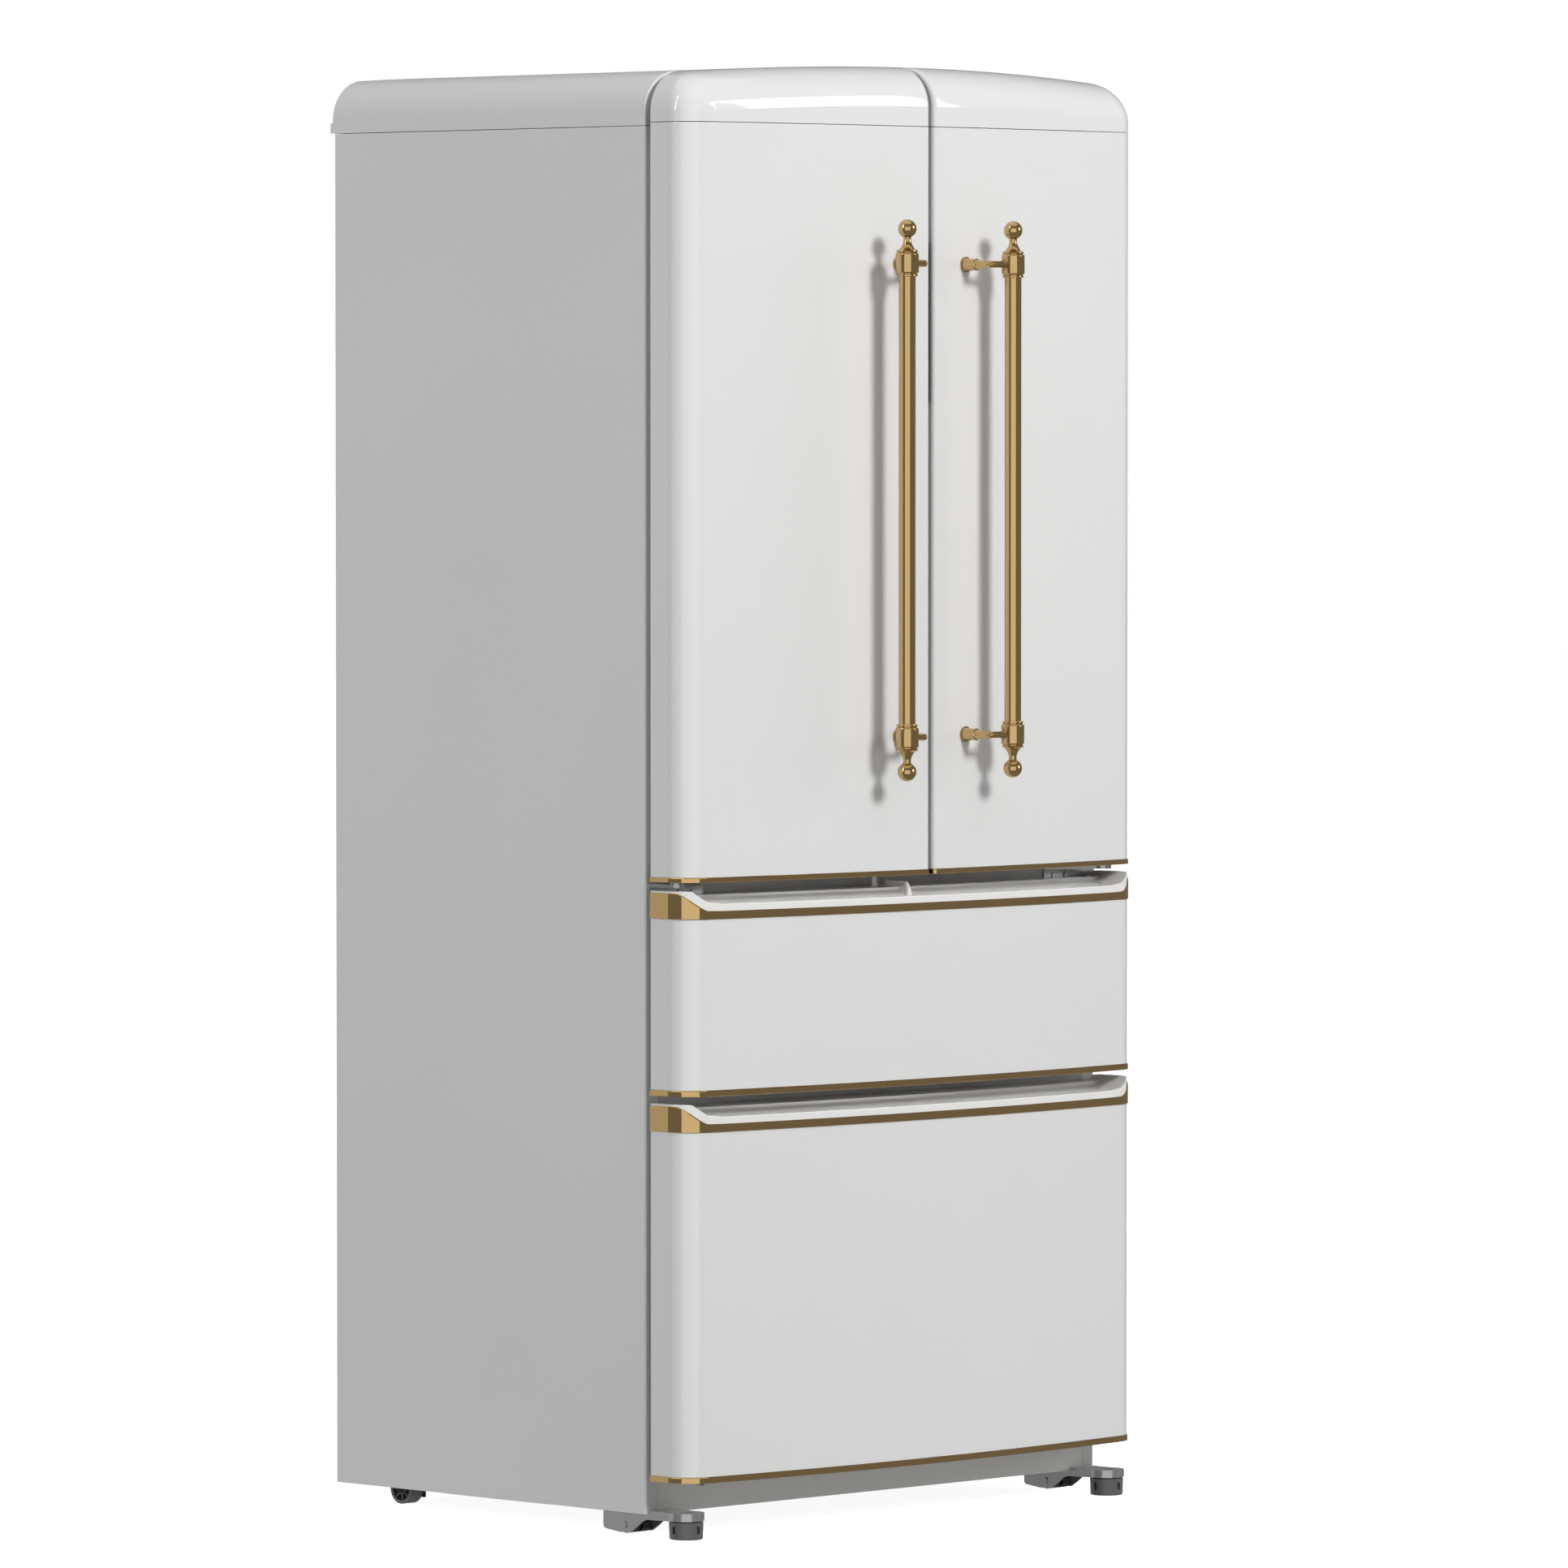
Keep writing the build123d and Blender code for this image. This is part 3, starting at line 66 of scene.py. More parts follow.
# ---- places read from the frame ------------------------------------------------------------
front_low, front_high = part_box("mid_drawer_front")
HALF = front_high.x
FRONT_Y = front_low.y
BACK_Y = front_high.y
BOW_Y = FRONT_Y + BOW_R
CAP_LOW, CAP_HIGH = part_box("top_cap")
TOP_Z = CAP_HIGH.z
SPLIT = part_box("right_door_skin")[0].x
CORNER_X = HALF - CORNER_R
CORNER_Y = BOW_Y - sqrt((BOW_R - CORNER_R) ** 2 - CORNER_X**2)
CORNER_END = pi / 2 - asin(CORNER_X / (BOW_R - CORNER_R))     # where the corner meets the bow


def bow_y(x, grow=0.0):
    """Y of the bowed front at x, moved outwards by grow."""
    return BOW_Y - sqrt((BOW_R + grow) ** 2 - x * x)


# ---- materials -----------------------------------------------------------------------------
def node_of(nodes, kind, **values):
    """A shader node with its properties and input values set."""
    made = nodes.new(kind)
    for key, value in values.items():
        if hasattr(made, key):
            setattr(made, key, value)
        else:
            made.inputs[key.replace("_", " ")].default_value = value
    return made


def surface(name, color, rough=0.4, metal=0.0, vary=0.06, grain=60.0, bump=0.02, stretch=(1, 1, 1), tint=None,
            rough_vary=0.08, wear=0.0, **inputs):
    """Principled material with procedural colour drift, uneven gloss, a fine bump and worn edges."""
    material = bpy.data.materials.new(name)
    material.use_nodes = True
    nodes, links = material.node_tree.nodes, material.node_tree.links
    shader = nodes["Principled BSDF"]
    shader.inputs["Metallic"].default_value = metal
    for key, value in inputs.items():
        shader.inputs[key.replace("_", " ")].default_value = value
    place = node_of(nodes, "ShaderNodeTexCoord")
    mapping = node_of(nodes, "ShaderNodeMapping")
    mapping.inputs["Scale"].default_value = stretch
    links.new(place.outputs["Object"], mapping.inputs["Vector"])
    cloud = node_of(nodes, "ShaderNodeTexNoise", Scale=2.3, Detail=3.0, Roughness=0.55)
    fine = node_of(nodes, "ShaderNodeTexNoise", Scale=grain, Detail=6.0, Roughness=0.6)
    links.new(mapping.outputs["Vector"], cloud.inputs["Vector"])
    links.new(mapping.outputs["Vector"], fine.inputs["Vector"])
    other = tint or tuple(c * (1 - 2 * vary) for c in color)
    ramp = node_of(nodes, "ShaderNodeValToRGB")
    ramp.color_ramp.elements[0].position = 0.3
    ramp.color_ramp.elements[0].color = (*other, 1)
    ramp.color_ramp.elements[1].position = 0.7
    ramp.color_ramp.elements[1].color = (*color, 1)
    links.new(cloud.outputs["Fac"], ramp.inputs["Fac"])
    colour = ramp.outputs["Color"]
    if wear:
        geometry = node_of(nodes, "ShaderNodeNewGeometry")
        edges = node_of(nodes, "ShaderNodeValToRGB")
        edges.color_ramp.elements[0].position = 0.53
        edges.color_ramp.elements[1].position = 0.60
        links.new(geometry.outputs["Pointiness"], edges.inputs["Fac"])
        strength = node_of(nodes, "ShaderNodeMath", operation="MULTIPLY")
        strength.inputs[1].default_value = wear
        links.new(edges.outputs["Color"], strength.inputs[0])
        mix = node_of(nodes, "ShaderNodeMixRGB", blend_type="MIX")
        mix.inputs["Color2"].default_value = (*(min(1, c * 1.5 + 0.04) for c in color), 1)
        links.new(strength.outputs[0], mix.inputs["Fac"])
        links.new(colour, mix.inputs["Color1"])
        colour = mix.outputs["Color"]
    links.new(colour, shader.inputs["Base Color"])
    gloss = node_of(nodes, "ShaderNodeMapRange")
    gloss.inputs["To Min"].default_value = max(0.02, rough - rough_vary)
    gloss.inputs["To Max"].default_value = rough + rough_vary
    links.new(fine.outputs["Fac"], gloss.inputs["Value"])
    links.new(gloss.outputs["Result"], shader.inputs["Roughness"])
    if bump:
        relief = node_of(nodes, "ShaderNodeBump", Strength=bump, Distance=0.001)
        links.new(fine.outputs["Fac"], relief.inputs["Height"])
        links.new(relief.outputs["Normal"], shader.inputs["Normal"])
    return material


ENAMEL = surface("gloss_enamel", (0.81, 0.81, 0.805), 0.07, vary=0.01, grain=260, bump=0.012,
                 rough_vary=0.015, Coat_Weight=0.35, Coat_Roughness=0.02)
PAINT = surface("side_paint", (0.80, 0.80, 0.80), 0.34, vary=0.012, grain=700, bump=0.05, rough_vary=0.05,
                Specular_IOR_Level=0.3)
# white plastic of the finger scoops, made whiter than the enamel as painted light: it lifts the shade that
# the doors above cast into the scoops
SCOOP_WHITE_AND_PAINTED_LIGHT = surface("scoop_white_with_painted_light", (0.86, 0.855, 0.84), 0.22, vary=0.012, grain=300, bump=0.02,
                      rough_vary=0.04)
BRASS = surface("polished_brass", (0.585, 0.405, 0.180), 0.05, metal=1.0, vary=0.03, grain=420, bump=0.006,
                stretch=(1, 1, 0.25), rough_vary=0.02)
LINER_WHITE = surface("liner_plastic", (0.83, 0.84, 0.85), 0.30, vary=0.012, grain=500, bump=0.04,
                      rough_vary=0.05)
FOAM = surface("insulating_foam", (0.72, 0.58, 0.30), 0.85, vary=0.12, grain=240, bump=0.5)
FRAME_GREY = surface("frame_paint", (0.62, 0.62, 0.615), 0.36, vary=0.02, grain=600, bump=0.05,
                     rough_vary=0.05)
REAR_GREY = surface("galvanised_sheet", (0.40, 0.41, 0.42), 0.42, metal=0.7, vary=0.10, grain=42, bump=0.03)
TRAY_BLACK = surface("tray_plastic", (0.022, 0.022, 0.022), 0.62, vary=0.10, grain=420, bump=0.12)
COMPRESSOR_BLACK = surface("compressor_paint", (0.018, 0.018, 0.019), 0.33, vary=0.10, grain=160, bump=0.10,
                           wear=0.3)
COIL_STEEL = surface("coil_paint", (0.030, 0.030, 0.032), 0.42, metal=0.3, vary=0.10, grain=300, bump=0.06,
                     wear=0.3)
FIN_ALU = surface("fin_aluminium", (0.72, 0.73, 0.75), 0.30, metal=1.0, vary=0.05, grain=500, bump=0.05)
BRACKET = surface("zinc_plated_steel", (0.44, 0.44, 0.445), 0.22, metal=0.7, vary=0.03, grain=160, bump=0.01,
                  rough_vary=0.03)
RAIL_STEEL = surface("rail_steel", (0.56, 0.57, 0.58), 0.24, metal=1.0, vary=0.05, grain=300, bump=0.04,
                     stretch=(1, 0.05, 1))
GASKET = surface("gasket_rubber", (0.80, 0.80, 0.80), 0.62, vary=0.05, grain=420, bump=0.10)
BASKET_WHITE = surface("basket_plastic", (0.76, 0.77, 0.78), 0.32, vary=0.015, grain=420, bump=0.06)
CONTROL = surface("control_glass", (0.004, 0.004, 0.005), 0.08, vary=0.10, grain=300, bump=0.004,
                  Coat_Weight=0.6)
FAN_BLACK = surface("fan_plastic", (0.020, 0.020, 0.022), 0.42, vary=0.08, grain=420, bump=0.06)
FOOT_GREY = surface("foot_plastic", (0.125, 0.128, 0.130), 0.34, vary=0.05, grain=380, bump=0.04)
# grey paint of the kick panel, made lighter than the frame paint as painted light: it stands in for the light
# bouncing up from the floor into the shade under the low drawer
KICK_PAINT_AND_BOUNCE = surface("kick_paint_with_painted_bounce", (0.88, 0.875, 0.85), 0.34, vary=0.015, grain=600, bump=0.04,
                    rough_vary=0.05)
ROLLER_BLACK = surface("roller_plastic", (0.005, 0.005, 0.005), 0.30, vary=0.08, grain=380, bump=0.04)
ROLLER_GREY = surface("wheel_plastic", (0.17, 0.17, 0.175), 0.42, vary=0.07, grain=380, bump=0.08, wear=0.3)
GLASS = surface("shelf_glass", (0.86, 0.94, 0.92), 0.03, vary=0.01, grain=40, bump=0.0, rough_vary=0.01,
                Transmission_Weight=0.9, IOR=1.5)
CLEAR = surface("clear_plastic", (0.90, 0.95, 0.97), 0.07, vary=0.01, grain=90, bump=0.01, rough_vary=0.02,
                Transmission_Weight=0.8, IOR=1.45)
LENS = surface("frosted_lens", (0.93, 0.93, 0.90), 0.5, vary=0.01, grain=500, bump=0.08,
               Emission_Strength=0.15, Emission_Color=(1, 0.98, 0.92, 1))

NODE_MATERIALS = (
    (PAINT, ("cabinet_shell",)),
    (LINER_WHITE, ("fridge_liner", "drawer_liners", "left_door_liner", "right_door_liner", "mid_drawer_liner",
                   "low_drawer_liner", "air_duct", "flip_mullion")),
    (FOAM, ("cabinet_foam",)),
    (FRAME_GREY, ("front_frame",)),
    (KICK_PAINT_AND_BOUNCE, ("kick_panel",)),
    (REAR_GREY, ("rear_cover",)),
    (TRAY_BLACK, ("base_tray",)),
    (COMPRESSOR_BLACK, ("compressor",)),
    (COIL_STEEL, ("condenser",)),
    (FIN_ALU, ("evaporator",)),
    (GLASS, ("glass_shelves",)),
    (LENS, ("compartment_light",)),
    (BRACKET, ("door_hinges", "leg_brackets", "screws")),
    (RAIL_STEEL, ("fixed_rails", "mid_drawer_slides", "low_drawer_slides")),
    (GASKET, ("left_door_gasket", "right_door_gasket", "mid_drawer_gasket", "low_drawer_gasket")),
    (CLEAR, ("left_door_bins", "right_door_bins", "crisper_drawer")),
    (BASKET_WHITE, ("mid_drawer_basket", "low_drawer_basket")),
    (CONTROL, ("control_strip",)),
    (FAN_BLACK, ("condenser_fan", "evaporator_fan")),
    (FOOT_GREY, ("left_foot", "right_foot")),
    (ROLLER_BLACK, ("left_front_roller", "right_front_roller")),
    (ROLLER_GREY, ("left_rear_roller", "right_rear_roller")),
)
for material, names in NODE_MATERIALS:
    for name in names:
        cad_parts[name].data.materials.clear()
        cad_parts[name].data.materials.append(material)


# ---- mesh helpers --------------------------------------------------------------------------
def finish_piece(name, work, material, body, nodes=(), angle=SHADE_ANGLE):
    """Turns a bmesh into a smooth-shaded piece that rides on a body and stands for CAD nodes."""
    bmesh.ops.remove_doubles(work, verts=work.verts, dist=1e-6)
    bmesh.ops.dissolve_degenerate(work, edges=work.edges, dist=1e-6)
    bmesh.ops.recalc_face_normals(work, faces=work.faces)
    mesh = bpy.data.meshes.new(name)
    work.to_mesh(mesh)
    work.free()
    mesh.shade_smooth()
    mesh.set_sharp_from_angle(angle=angle)
    mesh.materials.append(material)
    piece = bpy.data.objects.new(name, mesh)
    bpy.context.scene.collection.objects.link(piece)
    weighted = piece.modifiers.new("face weighted shading", "WEIGHTED_NORMAL")
    weighted.keep_sharp = True
    weighted.weight = 50
    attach(piece, body)
    if nodes:
        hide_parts(*nodes)


def add_grid(work, rows, closed_across=False, closed_along=False):
    """Quads between rows of points; returns the rows of vertices."""
    made = [[work.verts.new(p) for p in row] for row in rows]
    pairs = list(zip(made, made[1:]))
    if closed_along:
        pairs.append((made[-1], made[0]))
    for a, b in pairs:
        count = len(a) if closed_across else len(a) - 1
        for i in range(count):
            j = (i + 1) % len(a)
            work.faces.new((a[i], a[j], b[j], b[i]))
    return made


def add_cap(work, loop):
    """Closes a loop of vertices with one face."""
    work.faces.new(loop)


def arc_steps(start, end, count):
    """Evenly spaced values from start to end."""
    return [start + (end - start) * i / count for i in range(count + 1)]


# ---- outline of the bowed fronts -----------------------------------------------------------
CORNER_STEPS = 24
BOW_STEPS = 36
FREE_STEPS = 6
RIB_HALF = 5.5 * MM


def corner_points(side, grow):
    """Outer corner from the back of the side to the start of the bow."""
    radius = CORNER_R + grow
    points = [(side * (HALF + grow), BACK_Y)]
    for angle in arc_steps(0, CORNER_END, CORNER_STEPS):
        points.append((side * (CORNER_X + radius * cos(angle)), CORNER_Y - radius * sin(angle)))
    return points


def free_edge_points(x, towards, grow):
    """Free edge of a door at x, from the back to the start of the bow; towards is the side of the door."""
    inner = x + towards * max(0.0, -grow)
    radius = max(FREE_R + min(0.0, grow), 0.3 * MM)
    centre_x = inner + towards * radius
    centre_y = bow_y(centre_x, grow) + radius
    points = [(inner, BACK_Y)]
    for angle in arc_steps(0, pi / 2, FREE_STEPS):
        points.append((centre_x - towards * radius * cos(angle), centre_y - radius * sin(angle)))
    return points


def front_path(grow, left=None, right=None):
    """Open outline from the back left, along the bow, to the back right; None stands for an outer corner."""
    start = corner_points(-1, grow) if left is None else free_edge_points(left, 1, grow)
    end = corner_points(1, grow) if right is None else free_edge_points(right, -1, grow)
    x0, x1 = start[-1][0], end[-1][0]
    middle = [x0 + (x1 - x0) * i / BOW_STEPS for i in range(1, BOW_STEPS)]
    if left is None and right is None:
        rib = [RIB_HALF * k / 6 for k in range(-6, 7)]
        middle = sorted([x for x in middle if abs(x) > RIB_HALF + 1 * MM] + rib)
    return start + [(x, bow_y(x, grow)) for x in middle] + list(reversed(end))


# ---- enamelled panels ----------------------------------------------------------------------
BACK_RIM = 0.9 * MM
BACK_RECESS = 1.5 * MM


def rounded_levels(low, high, radius, steps=4):
    """Heights and insets of rings that round a panel's lower and upper edge."""
    lower = [(low + radius * (1 - cos(a)), -radius * (1 - sin(a))) for a in arc_steps(0, pi / 2, steps)]
    upper = [(high + low - z, inset) for z, inset in reversed(lower)]
    return lower + upper


def panel(name, node, body, left=None, right=None):
    """Bowed enamel panel with rounded long edges and a recessed back."""
    low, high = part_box(node)
    work = bmesh.new()
    rings = [[(x, y, z) for x, y in front_path(inset, left, right)]
             for z, inset in rounded_levels(low.z, high.z, EDGE)]
    made = add_grid(work, rings, closed_across=True)
    add_cap(work, made[0])
    add_cap(work, made[-1])
    bmesh.ops.recalc_face_normals(work, faces=work.faces)
    backs = [f for f in work.faces if all(abs(v.co.y - BACK_Y) < 1e-6 for v in f.verts)]
    bmesh.ops.inset_region(work, faces=backs, thickness=BACK_RIM, depth=-BACK_RECESS)
    finish_piece(name, work, ENAMEL, body, (node,))


panel("left_door_panel", "left_door_skin", "left_door", right=-SPLIT)
panel("right_door_panel", "right_door_skin", "right_door", left=SPLIT)
panel("mid_drawer_panel", "mid_drawer_front", "mid_drawer")
panel("low_drawer_panel", "low_drawer_front", "low_drawer")


# ---- brass strips and bands ----------------------------------------------------------------
def path_lengths(path):
    """Arc length along a path from the start of its corner, and the whole length."""
    lengths = [0.0]
    for (x0, y0), (x1, y1) in zip(path, path[1:]):
        lengths.append(lengths[-1] + sqrt((x1 - x0) ** 2 + (y1 - y0) ** 2))
    return lengths, lengths[-1]


def sweep(name, section, body, nodes=(), left=None, right=None):
    """Carries a closed section of (grow, height of x and arc length) along the front outline."""
    work = bmesh.new()
    rows = []
    for grow, height in section:
        path = front_path(grow, left, right)
        travelled, length = path_lengths(path)
        rows.append([(x, y, height(min(s, length - s))) for (x, y), s in zip(path, travelled)])
    made = add_grid(work, rows, closed_along=True)
    add_cap(work, [row[0] for row in made])
    add_cap(work, [row[-1] for row in made])
    finish_piece(name, work, BRASS, body, nodes)


STRIP_CHAMFER = 1.1 * MM


def level(z):
    """A height that stays the same along the outline."""
    return lambda travelled: z


def strip_section(low, high, inner=-10 * MM):
    """Flat strip with a bright chamfer along its upper edge."""
    return ((inner, level(low)), (PROUD - BRASS_EDGE, level(low)), (PROUD, level(low + BRASS_EDGE)),
            (PROUD, level(high - STRIP_CHAMFER)), (PROUD - STRIP_CHAMFER, level(high)), (inner, level(high)))


for side, name in ((-1, "left"), (1, "right")):
    low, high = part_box(f"{name}_door_trim")
    ends = {"right": -SPLIT} if side < 0 else {"left": SPLIT}
    sweep(f"{name}_door_brass_strip", strip_section(low.z, high.z), f"{name}_door", (f"{name}_door_trim",),
          **ends)

SIDE_RUN = BACK_Y - CORNER_Y                                  # straight run before the corner
OGEE_START = SIDE_RUN + 8.5 * MM
OGEE_RUN = 48.5 * MM
OGEE_DROP = BAND_SIDE_H - BAND_FRONT_H
STRIP_H = 7.3 * MM
BAND_CHAMFER = 0.7 * MM
BAND_INNER = 0.1 * MM


def ogee_drop(travelled):
    """How far the band's upper edge has dropped, from the travelled length along the outline."""
    t = min(1.0, max(0.0, (travelled - OGEE_START) / OGEE_RUN))
    return OGEE_DROP * t * t * (3 - 2 * t)


def band_top(base, less=0.0):
    """A height that follows the band's upper edge along the outline."""
    return lambda travelled: base + BAND_SIDE_H - ogee_drop(travelled) - less


for name in ("mid", "low"):
    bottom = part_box(f"{name}_drawer_trims")[0].z
    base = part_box(f"{name}_drawer_front")[1].z
    section = ((BAND_INNER, level(base)), (PROUD - BRASS_EDGE, level(base)),
               (PROUD, level(base + BRASS_EDGE)), (PROUD, band_top(base, BAND_CHAMFER)),
               (PROUD - BAND_CHAMFER, band_top(base)), (BAND_INNER, band_top(base)))
    sweep(f"{name}_drawer_brass_band", section, f"{name}_drawer", (f"{name}_drawer_trims",))
    sweep(f"{name}_drawer_brass_strip", strip_section(bottom, bottom + STRIP_H), f"{name}_drawer")

# ---- finger scoops -------------------------------------------------------------------------
LIP_H = 8.8 * MM           # lip above the brass band
LIP_ROUND = 1.2 * MM
LEDGE_DROP = 6.5 * MM      # rear of the scoop below its shoulders
TROUGH_RISE = 3.0 * MM
RIB_DEPTH = (37 * MM, 81 * MM)
OGEE_SHIFT = 0.6 * LIP_H   # the lip's ogee runs this much behind the band's
SCOOP_ROWS = (             # depths in millimetres, close together where the section bends
    0, 0.15, 0.4, 0.8, 1.3, 3, 5, 7, 7.8, 8, 8.4, 9, 10.5, 13, 17, 21, 25, 29, 32, 35, 37, 38.5, 40, 41.5,
    43, 44.5, 45.7, 46.5, 47, 47.8, 49, 53, 60, 68, 75, 78, 79.5, 81, 84, 90,
)


def trough_height(depth, base, ledge):
    """Height of the trough across its depth: level lip, drop behind it, and a wall that curves up."""
    if depth <= LIP_DEPTH:
        return base + BAND_FRONT_H + LIP_H
    if depth >= TROUGH_DEPTH:
        return ledge
    low = base + BAND_FRONT_H
    t = (depth - LIP_DEPTH) / (TROUGH_DEPTH - LIP_DEPTH)
    return low + TROUGH_RISE * t + (ledge - low - TROUGH_RISE) * (1 - sqrt(max(0.0, 1 - t**4)))


def rib_height(x, depth, base, top):
    """Height of the rounded rib across the middle of the trough, which falls away at its ends."""
    across = max(0.0, 1 - (x / RIB_HALF) ** 2)
    ahead = max(0.0, min(1.0, (depth - RIB_DEPTH[0]) / (7 * MM)))
    behind = max(0.0, min(1.0, (RIB_DEPTH[1] - depth) / (2 * MM)))
    return base + (top - base) * sqrt(across) * sqrt(1 - (1 - ahead) ** 2) * behind


def rim_height(run, base, top):
    """Height of the closed rim at the ends of the trough, which follows the ogee down."""
    full = base + BAND_SIDE_H + LIP_H - ogee_drop(run)
    at_front = base + BAND_FRONT_H + LIP_H
    fade = max(0.0, min(1.0, (full - at_front) / (3 * MM)))
    return min(top, base + (full - base) * fade)


def scoop(name, rib):
    """White scoop behind the brass band, as heights over the plan of the drawer front."""
    low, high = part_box(f"{name}_drawer_scoop")
    base, top = low.z, high.z
    ledge = top - LEDGE_DROP
    path = front_path(0.0)
    travelled, length = path_lengths(path)
    work = bmesh.new()
    columns = []
    for (x, y0), s in zip(path, travelled):
        run = min(s, length - s) - OGEE_SHIFT
        lip = min(top, base + BAND_SIDE_H + LIP_H - ogee_drop(run))
        column = [(x, y0, base)]
        for row in SCOOP_ROWS:
            depth = row * MM
            y = min(BACK_Y, max(y0 + min(depth, LIP_ROUND), bow_y(x) + depth))
            behind = y - bow_y(x)
            edge = lip if behind <= LIP_DEPTH else rim_height(run, base, top)
            height = max(edge, trough_height(behind, base, ledge))
            if rib:
                height = max(height, rib_height(x, behind, base + BAND_FRONT_H, top))
            ease = max(0.0, 1 - (y - y0) / LIP_ROUND)
            height -= LIP_ROUND * (1 - sqrt(1 - ease**2))
            column.append((x, y, height))
        column[-1] = (x, BACK_Y, column[-1][2])
        column.append((x, BACK_Y, base))
        columns.append(column)
    made = add_grid(work, columns, closed_across=True)
    add_cap(work, made[0])
    add_cap(work, made[-1])
    finish_piece(f"{name}_finger_scoop", work, SCOOP_WHITE_AND_PAINTED_LIGHT, f"{name}_drawer",
                 (f"{name}_drawer_scoop",), radians(50))


scoop("mid", True)
scoop("low", False)


# ---- crowned top and door domes ------------------------------------------------------------
def crown_outline(half, top, steps_crown=18, steps_shoulder=14):
    """Half outline of the crown seen from the front, from the middle to the side: (x, z, outward normal)."""
    centre_z = top - CROWN_R
    corner_x = half - SHOULDER_R
    corner_z = centre_z + sqrt((CROWN_R - SHOULDER_R) ** 2 - corner_x**2)
    end = asin(corner_x / (CROWN_R - SHOULDER_R))
    points = []
    for angle in arc_steps(0, end, steps_crown):
        normal = Vector((sin(angle), 0, cos(angle)))
        points.append((CROWN_R * sin(angle), centre_z + CROWN_R * cos(angle), normal))
    for angle in arc_steps(end, pi / 2, steps_shoulder)[1:]:
        normal = Vector((sin(angle), 0, cos(angle)))
        points.append((corner_x + SHOULDER_R * sin(angle), corner_z + SHOULDER_R * cos(angle), normal))
    return points


def slerp(a, b, t):
    """Unit vector between a and b, turned evenly."""
    angle = acos(max(-1, min(1, a.dot(b))))
    return (a * sin((1 - t) * angle) + b * sin(t * angle)) / sin(angle)


DOME_STEPS = 16


def dome_column(x, z, normal, radius, base, inset):
    """One profile of the dome: from the base up the front, round the edge, and back to the rear."""
    centre = Vector((x, 0, z)) - normal * radius
    centre.y = BOW_Y - sqrt((BOW_R - radius) ** 2 - centre.x**2)
    bow = Vector((centre.x, centre.y - BOW_Y, 0)).normalized()
    reach = radius - inset
    edge = [centre + slerp(bow, normal, i / DOME_STEPS) * reach for i in range(DOME_STEPS + 1)]
    rear = Vector((edge[-1].x, BACK_Y, edge[-1].z))
    foot = Vector((edge[0].x, edge[0].y, base))
    return [foot] + edge + [rear]


def dome(name, side):
    """Domed cap of one door, with its free edge rounded."""
    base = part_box(f"{name}_door_cap")[0].z
    outline = crown_outline(HALF, TOP_Z)
    columns = []
    for angle in arc_steps(0, pi / 2, FREE_STEPS):
        x = SPLIT + FREE_R * (1 - cos(angle))
        z = TOP_Z - CROWN_R + sqrt(CROWN_R**2 - x * x)
        columns.append(dome_column(x, z, Vector((x / CROWN_R, 0, 1)).normalized(), SHOULDER_R, base,
                                   FREE_R * (1 - sin(angle))))
    for x, z, normal in outline:
        if x <= SPLIT + FREE_R:
            continue
        turned = min(1.0, max(0.0, asin(min(1.0, normal.x)) / (pi / 2)))
        radius = SHOULDER_R + (CORNER_R - SHOULDER_R) * turned * turned * (3 - 2 * turned)
        columns.append(dome_column(x, z, normal, radius, base, 0.0))
    x, z, normal = outline[-1]
    columns.append(dome_column(x, base, normal, CORNER_R, base, 0.0))
    columns = [[Vector((side * p.x, p.y, p.z)) for p in column] for column in columns]
    for column in columns:
        column.append(Vector((column[-1].x, BACK_Y, base)))
    work = bmesh.new()
    made = add_grid(work, columns)
    add_cap(work, made[0])
    add_cap(work, [column[0] for column in made] + list(made[-1][1:]) + [c[-1] for c in reversed(made[:-1])])
    finish_piece(f"{name}_door_dome", work, ENAMEL, f"{name}_door", (f"{name}_door_cap",))


dome("left", -1)
dome("right", 1)


TOP_OVERHANG = 6 * MM      # crown past the cabinet's back
TOP_FRONT_R = 2 * MM
TOP_REAR_R = 3 * MM
DRIP_H = 12.5 * MM
DRIP_OVERLAP = 2 * MM
DRIP_R = 1.5 * MM


def cabinet_top():
    """Crowned top of the cabinet with softened front and rear edges and a rear drip lip."""
    half = CAP_HIGH.x
    front = CAP_LOW.y
    lip_low = CAP_LOW.z
    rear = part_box("cabinet_shell")[1].y + TOP_OVERHANG
    turns = arc_steps(0, pi / 2, 4)
    right = crown_outline(half, TOP_Z)
    outline = [(-x, z, Vector((-n.x, 0, n.z))) for x, z, n in reversed(right)] + right[1:]
    outline = [(-half, lip_low, Vector((-1, 0, 0)))] + outline + [(half, lip_low, Vector((1, 0, 0)))]
    rings = [(front + TOP_FRONT_R * (1 - cos(a)), TOP_FRONT_R * (1 - sin(a))) for a in turns]
    rings += [(rear - TOP_REAR_R * (1 - cos(a)), TOP_REAR_R * (1 - sin(a))) for a in reversed(turns)]
    work = bmesh.new()
    rows = []
    for y, inset in rings:
        rows.append([Vector((x, y, z)) - normal * inset for x, z, normal in outline])
    made = add_grid(work, rows, closed_across=True)
    add_cap(work, made[0])
    add_cap(work, made[-1])
    finish_piece("cabinet_top", work, PAINT, "cabinet", ("top_cap",))
    lip = bmesh.new()
    made = bmesh.ops.create_cube(lip, size=1)["verts"]
    size = Vector((2 * half, CAP_HIGH.y - rear + DRIP_OVERLAP, DRIP_H))
    centre = Vector((0, (CAP_HIGH.y + rear - DRIP_OVERLAP) / 2, lip_low + DRIP_H / 2))
    for vert in made:
        vert.co = centre + Vector(a * b for a, b in zip(vert.co, size))
    bmesh.ops.bevel(lip, geom=lip.edges[:], offset=DRIP_R, segments=3, affect="EDGES", profile=0.5)
    finish_piece("cabinet_top_lip", lip, PAINT, "cabinet")


cabinet_top()


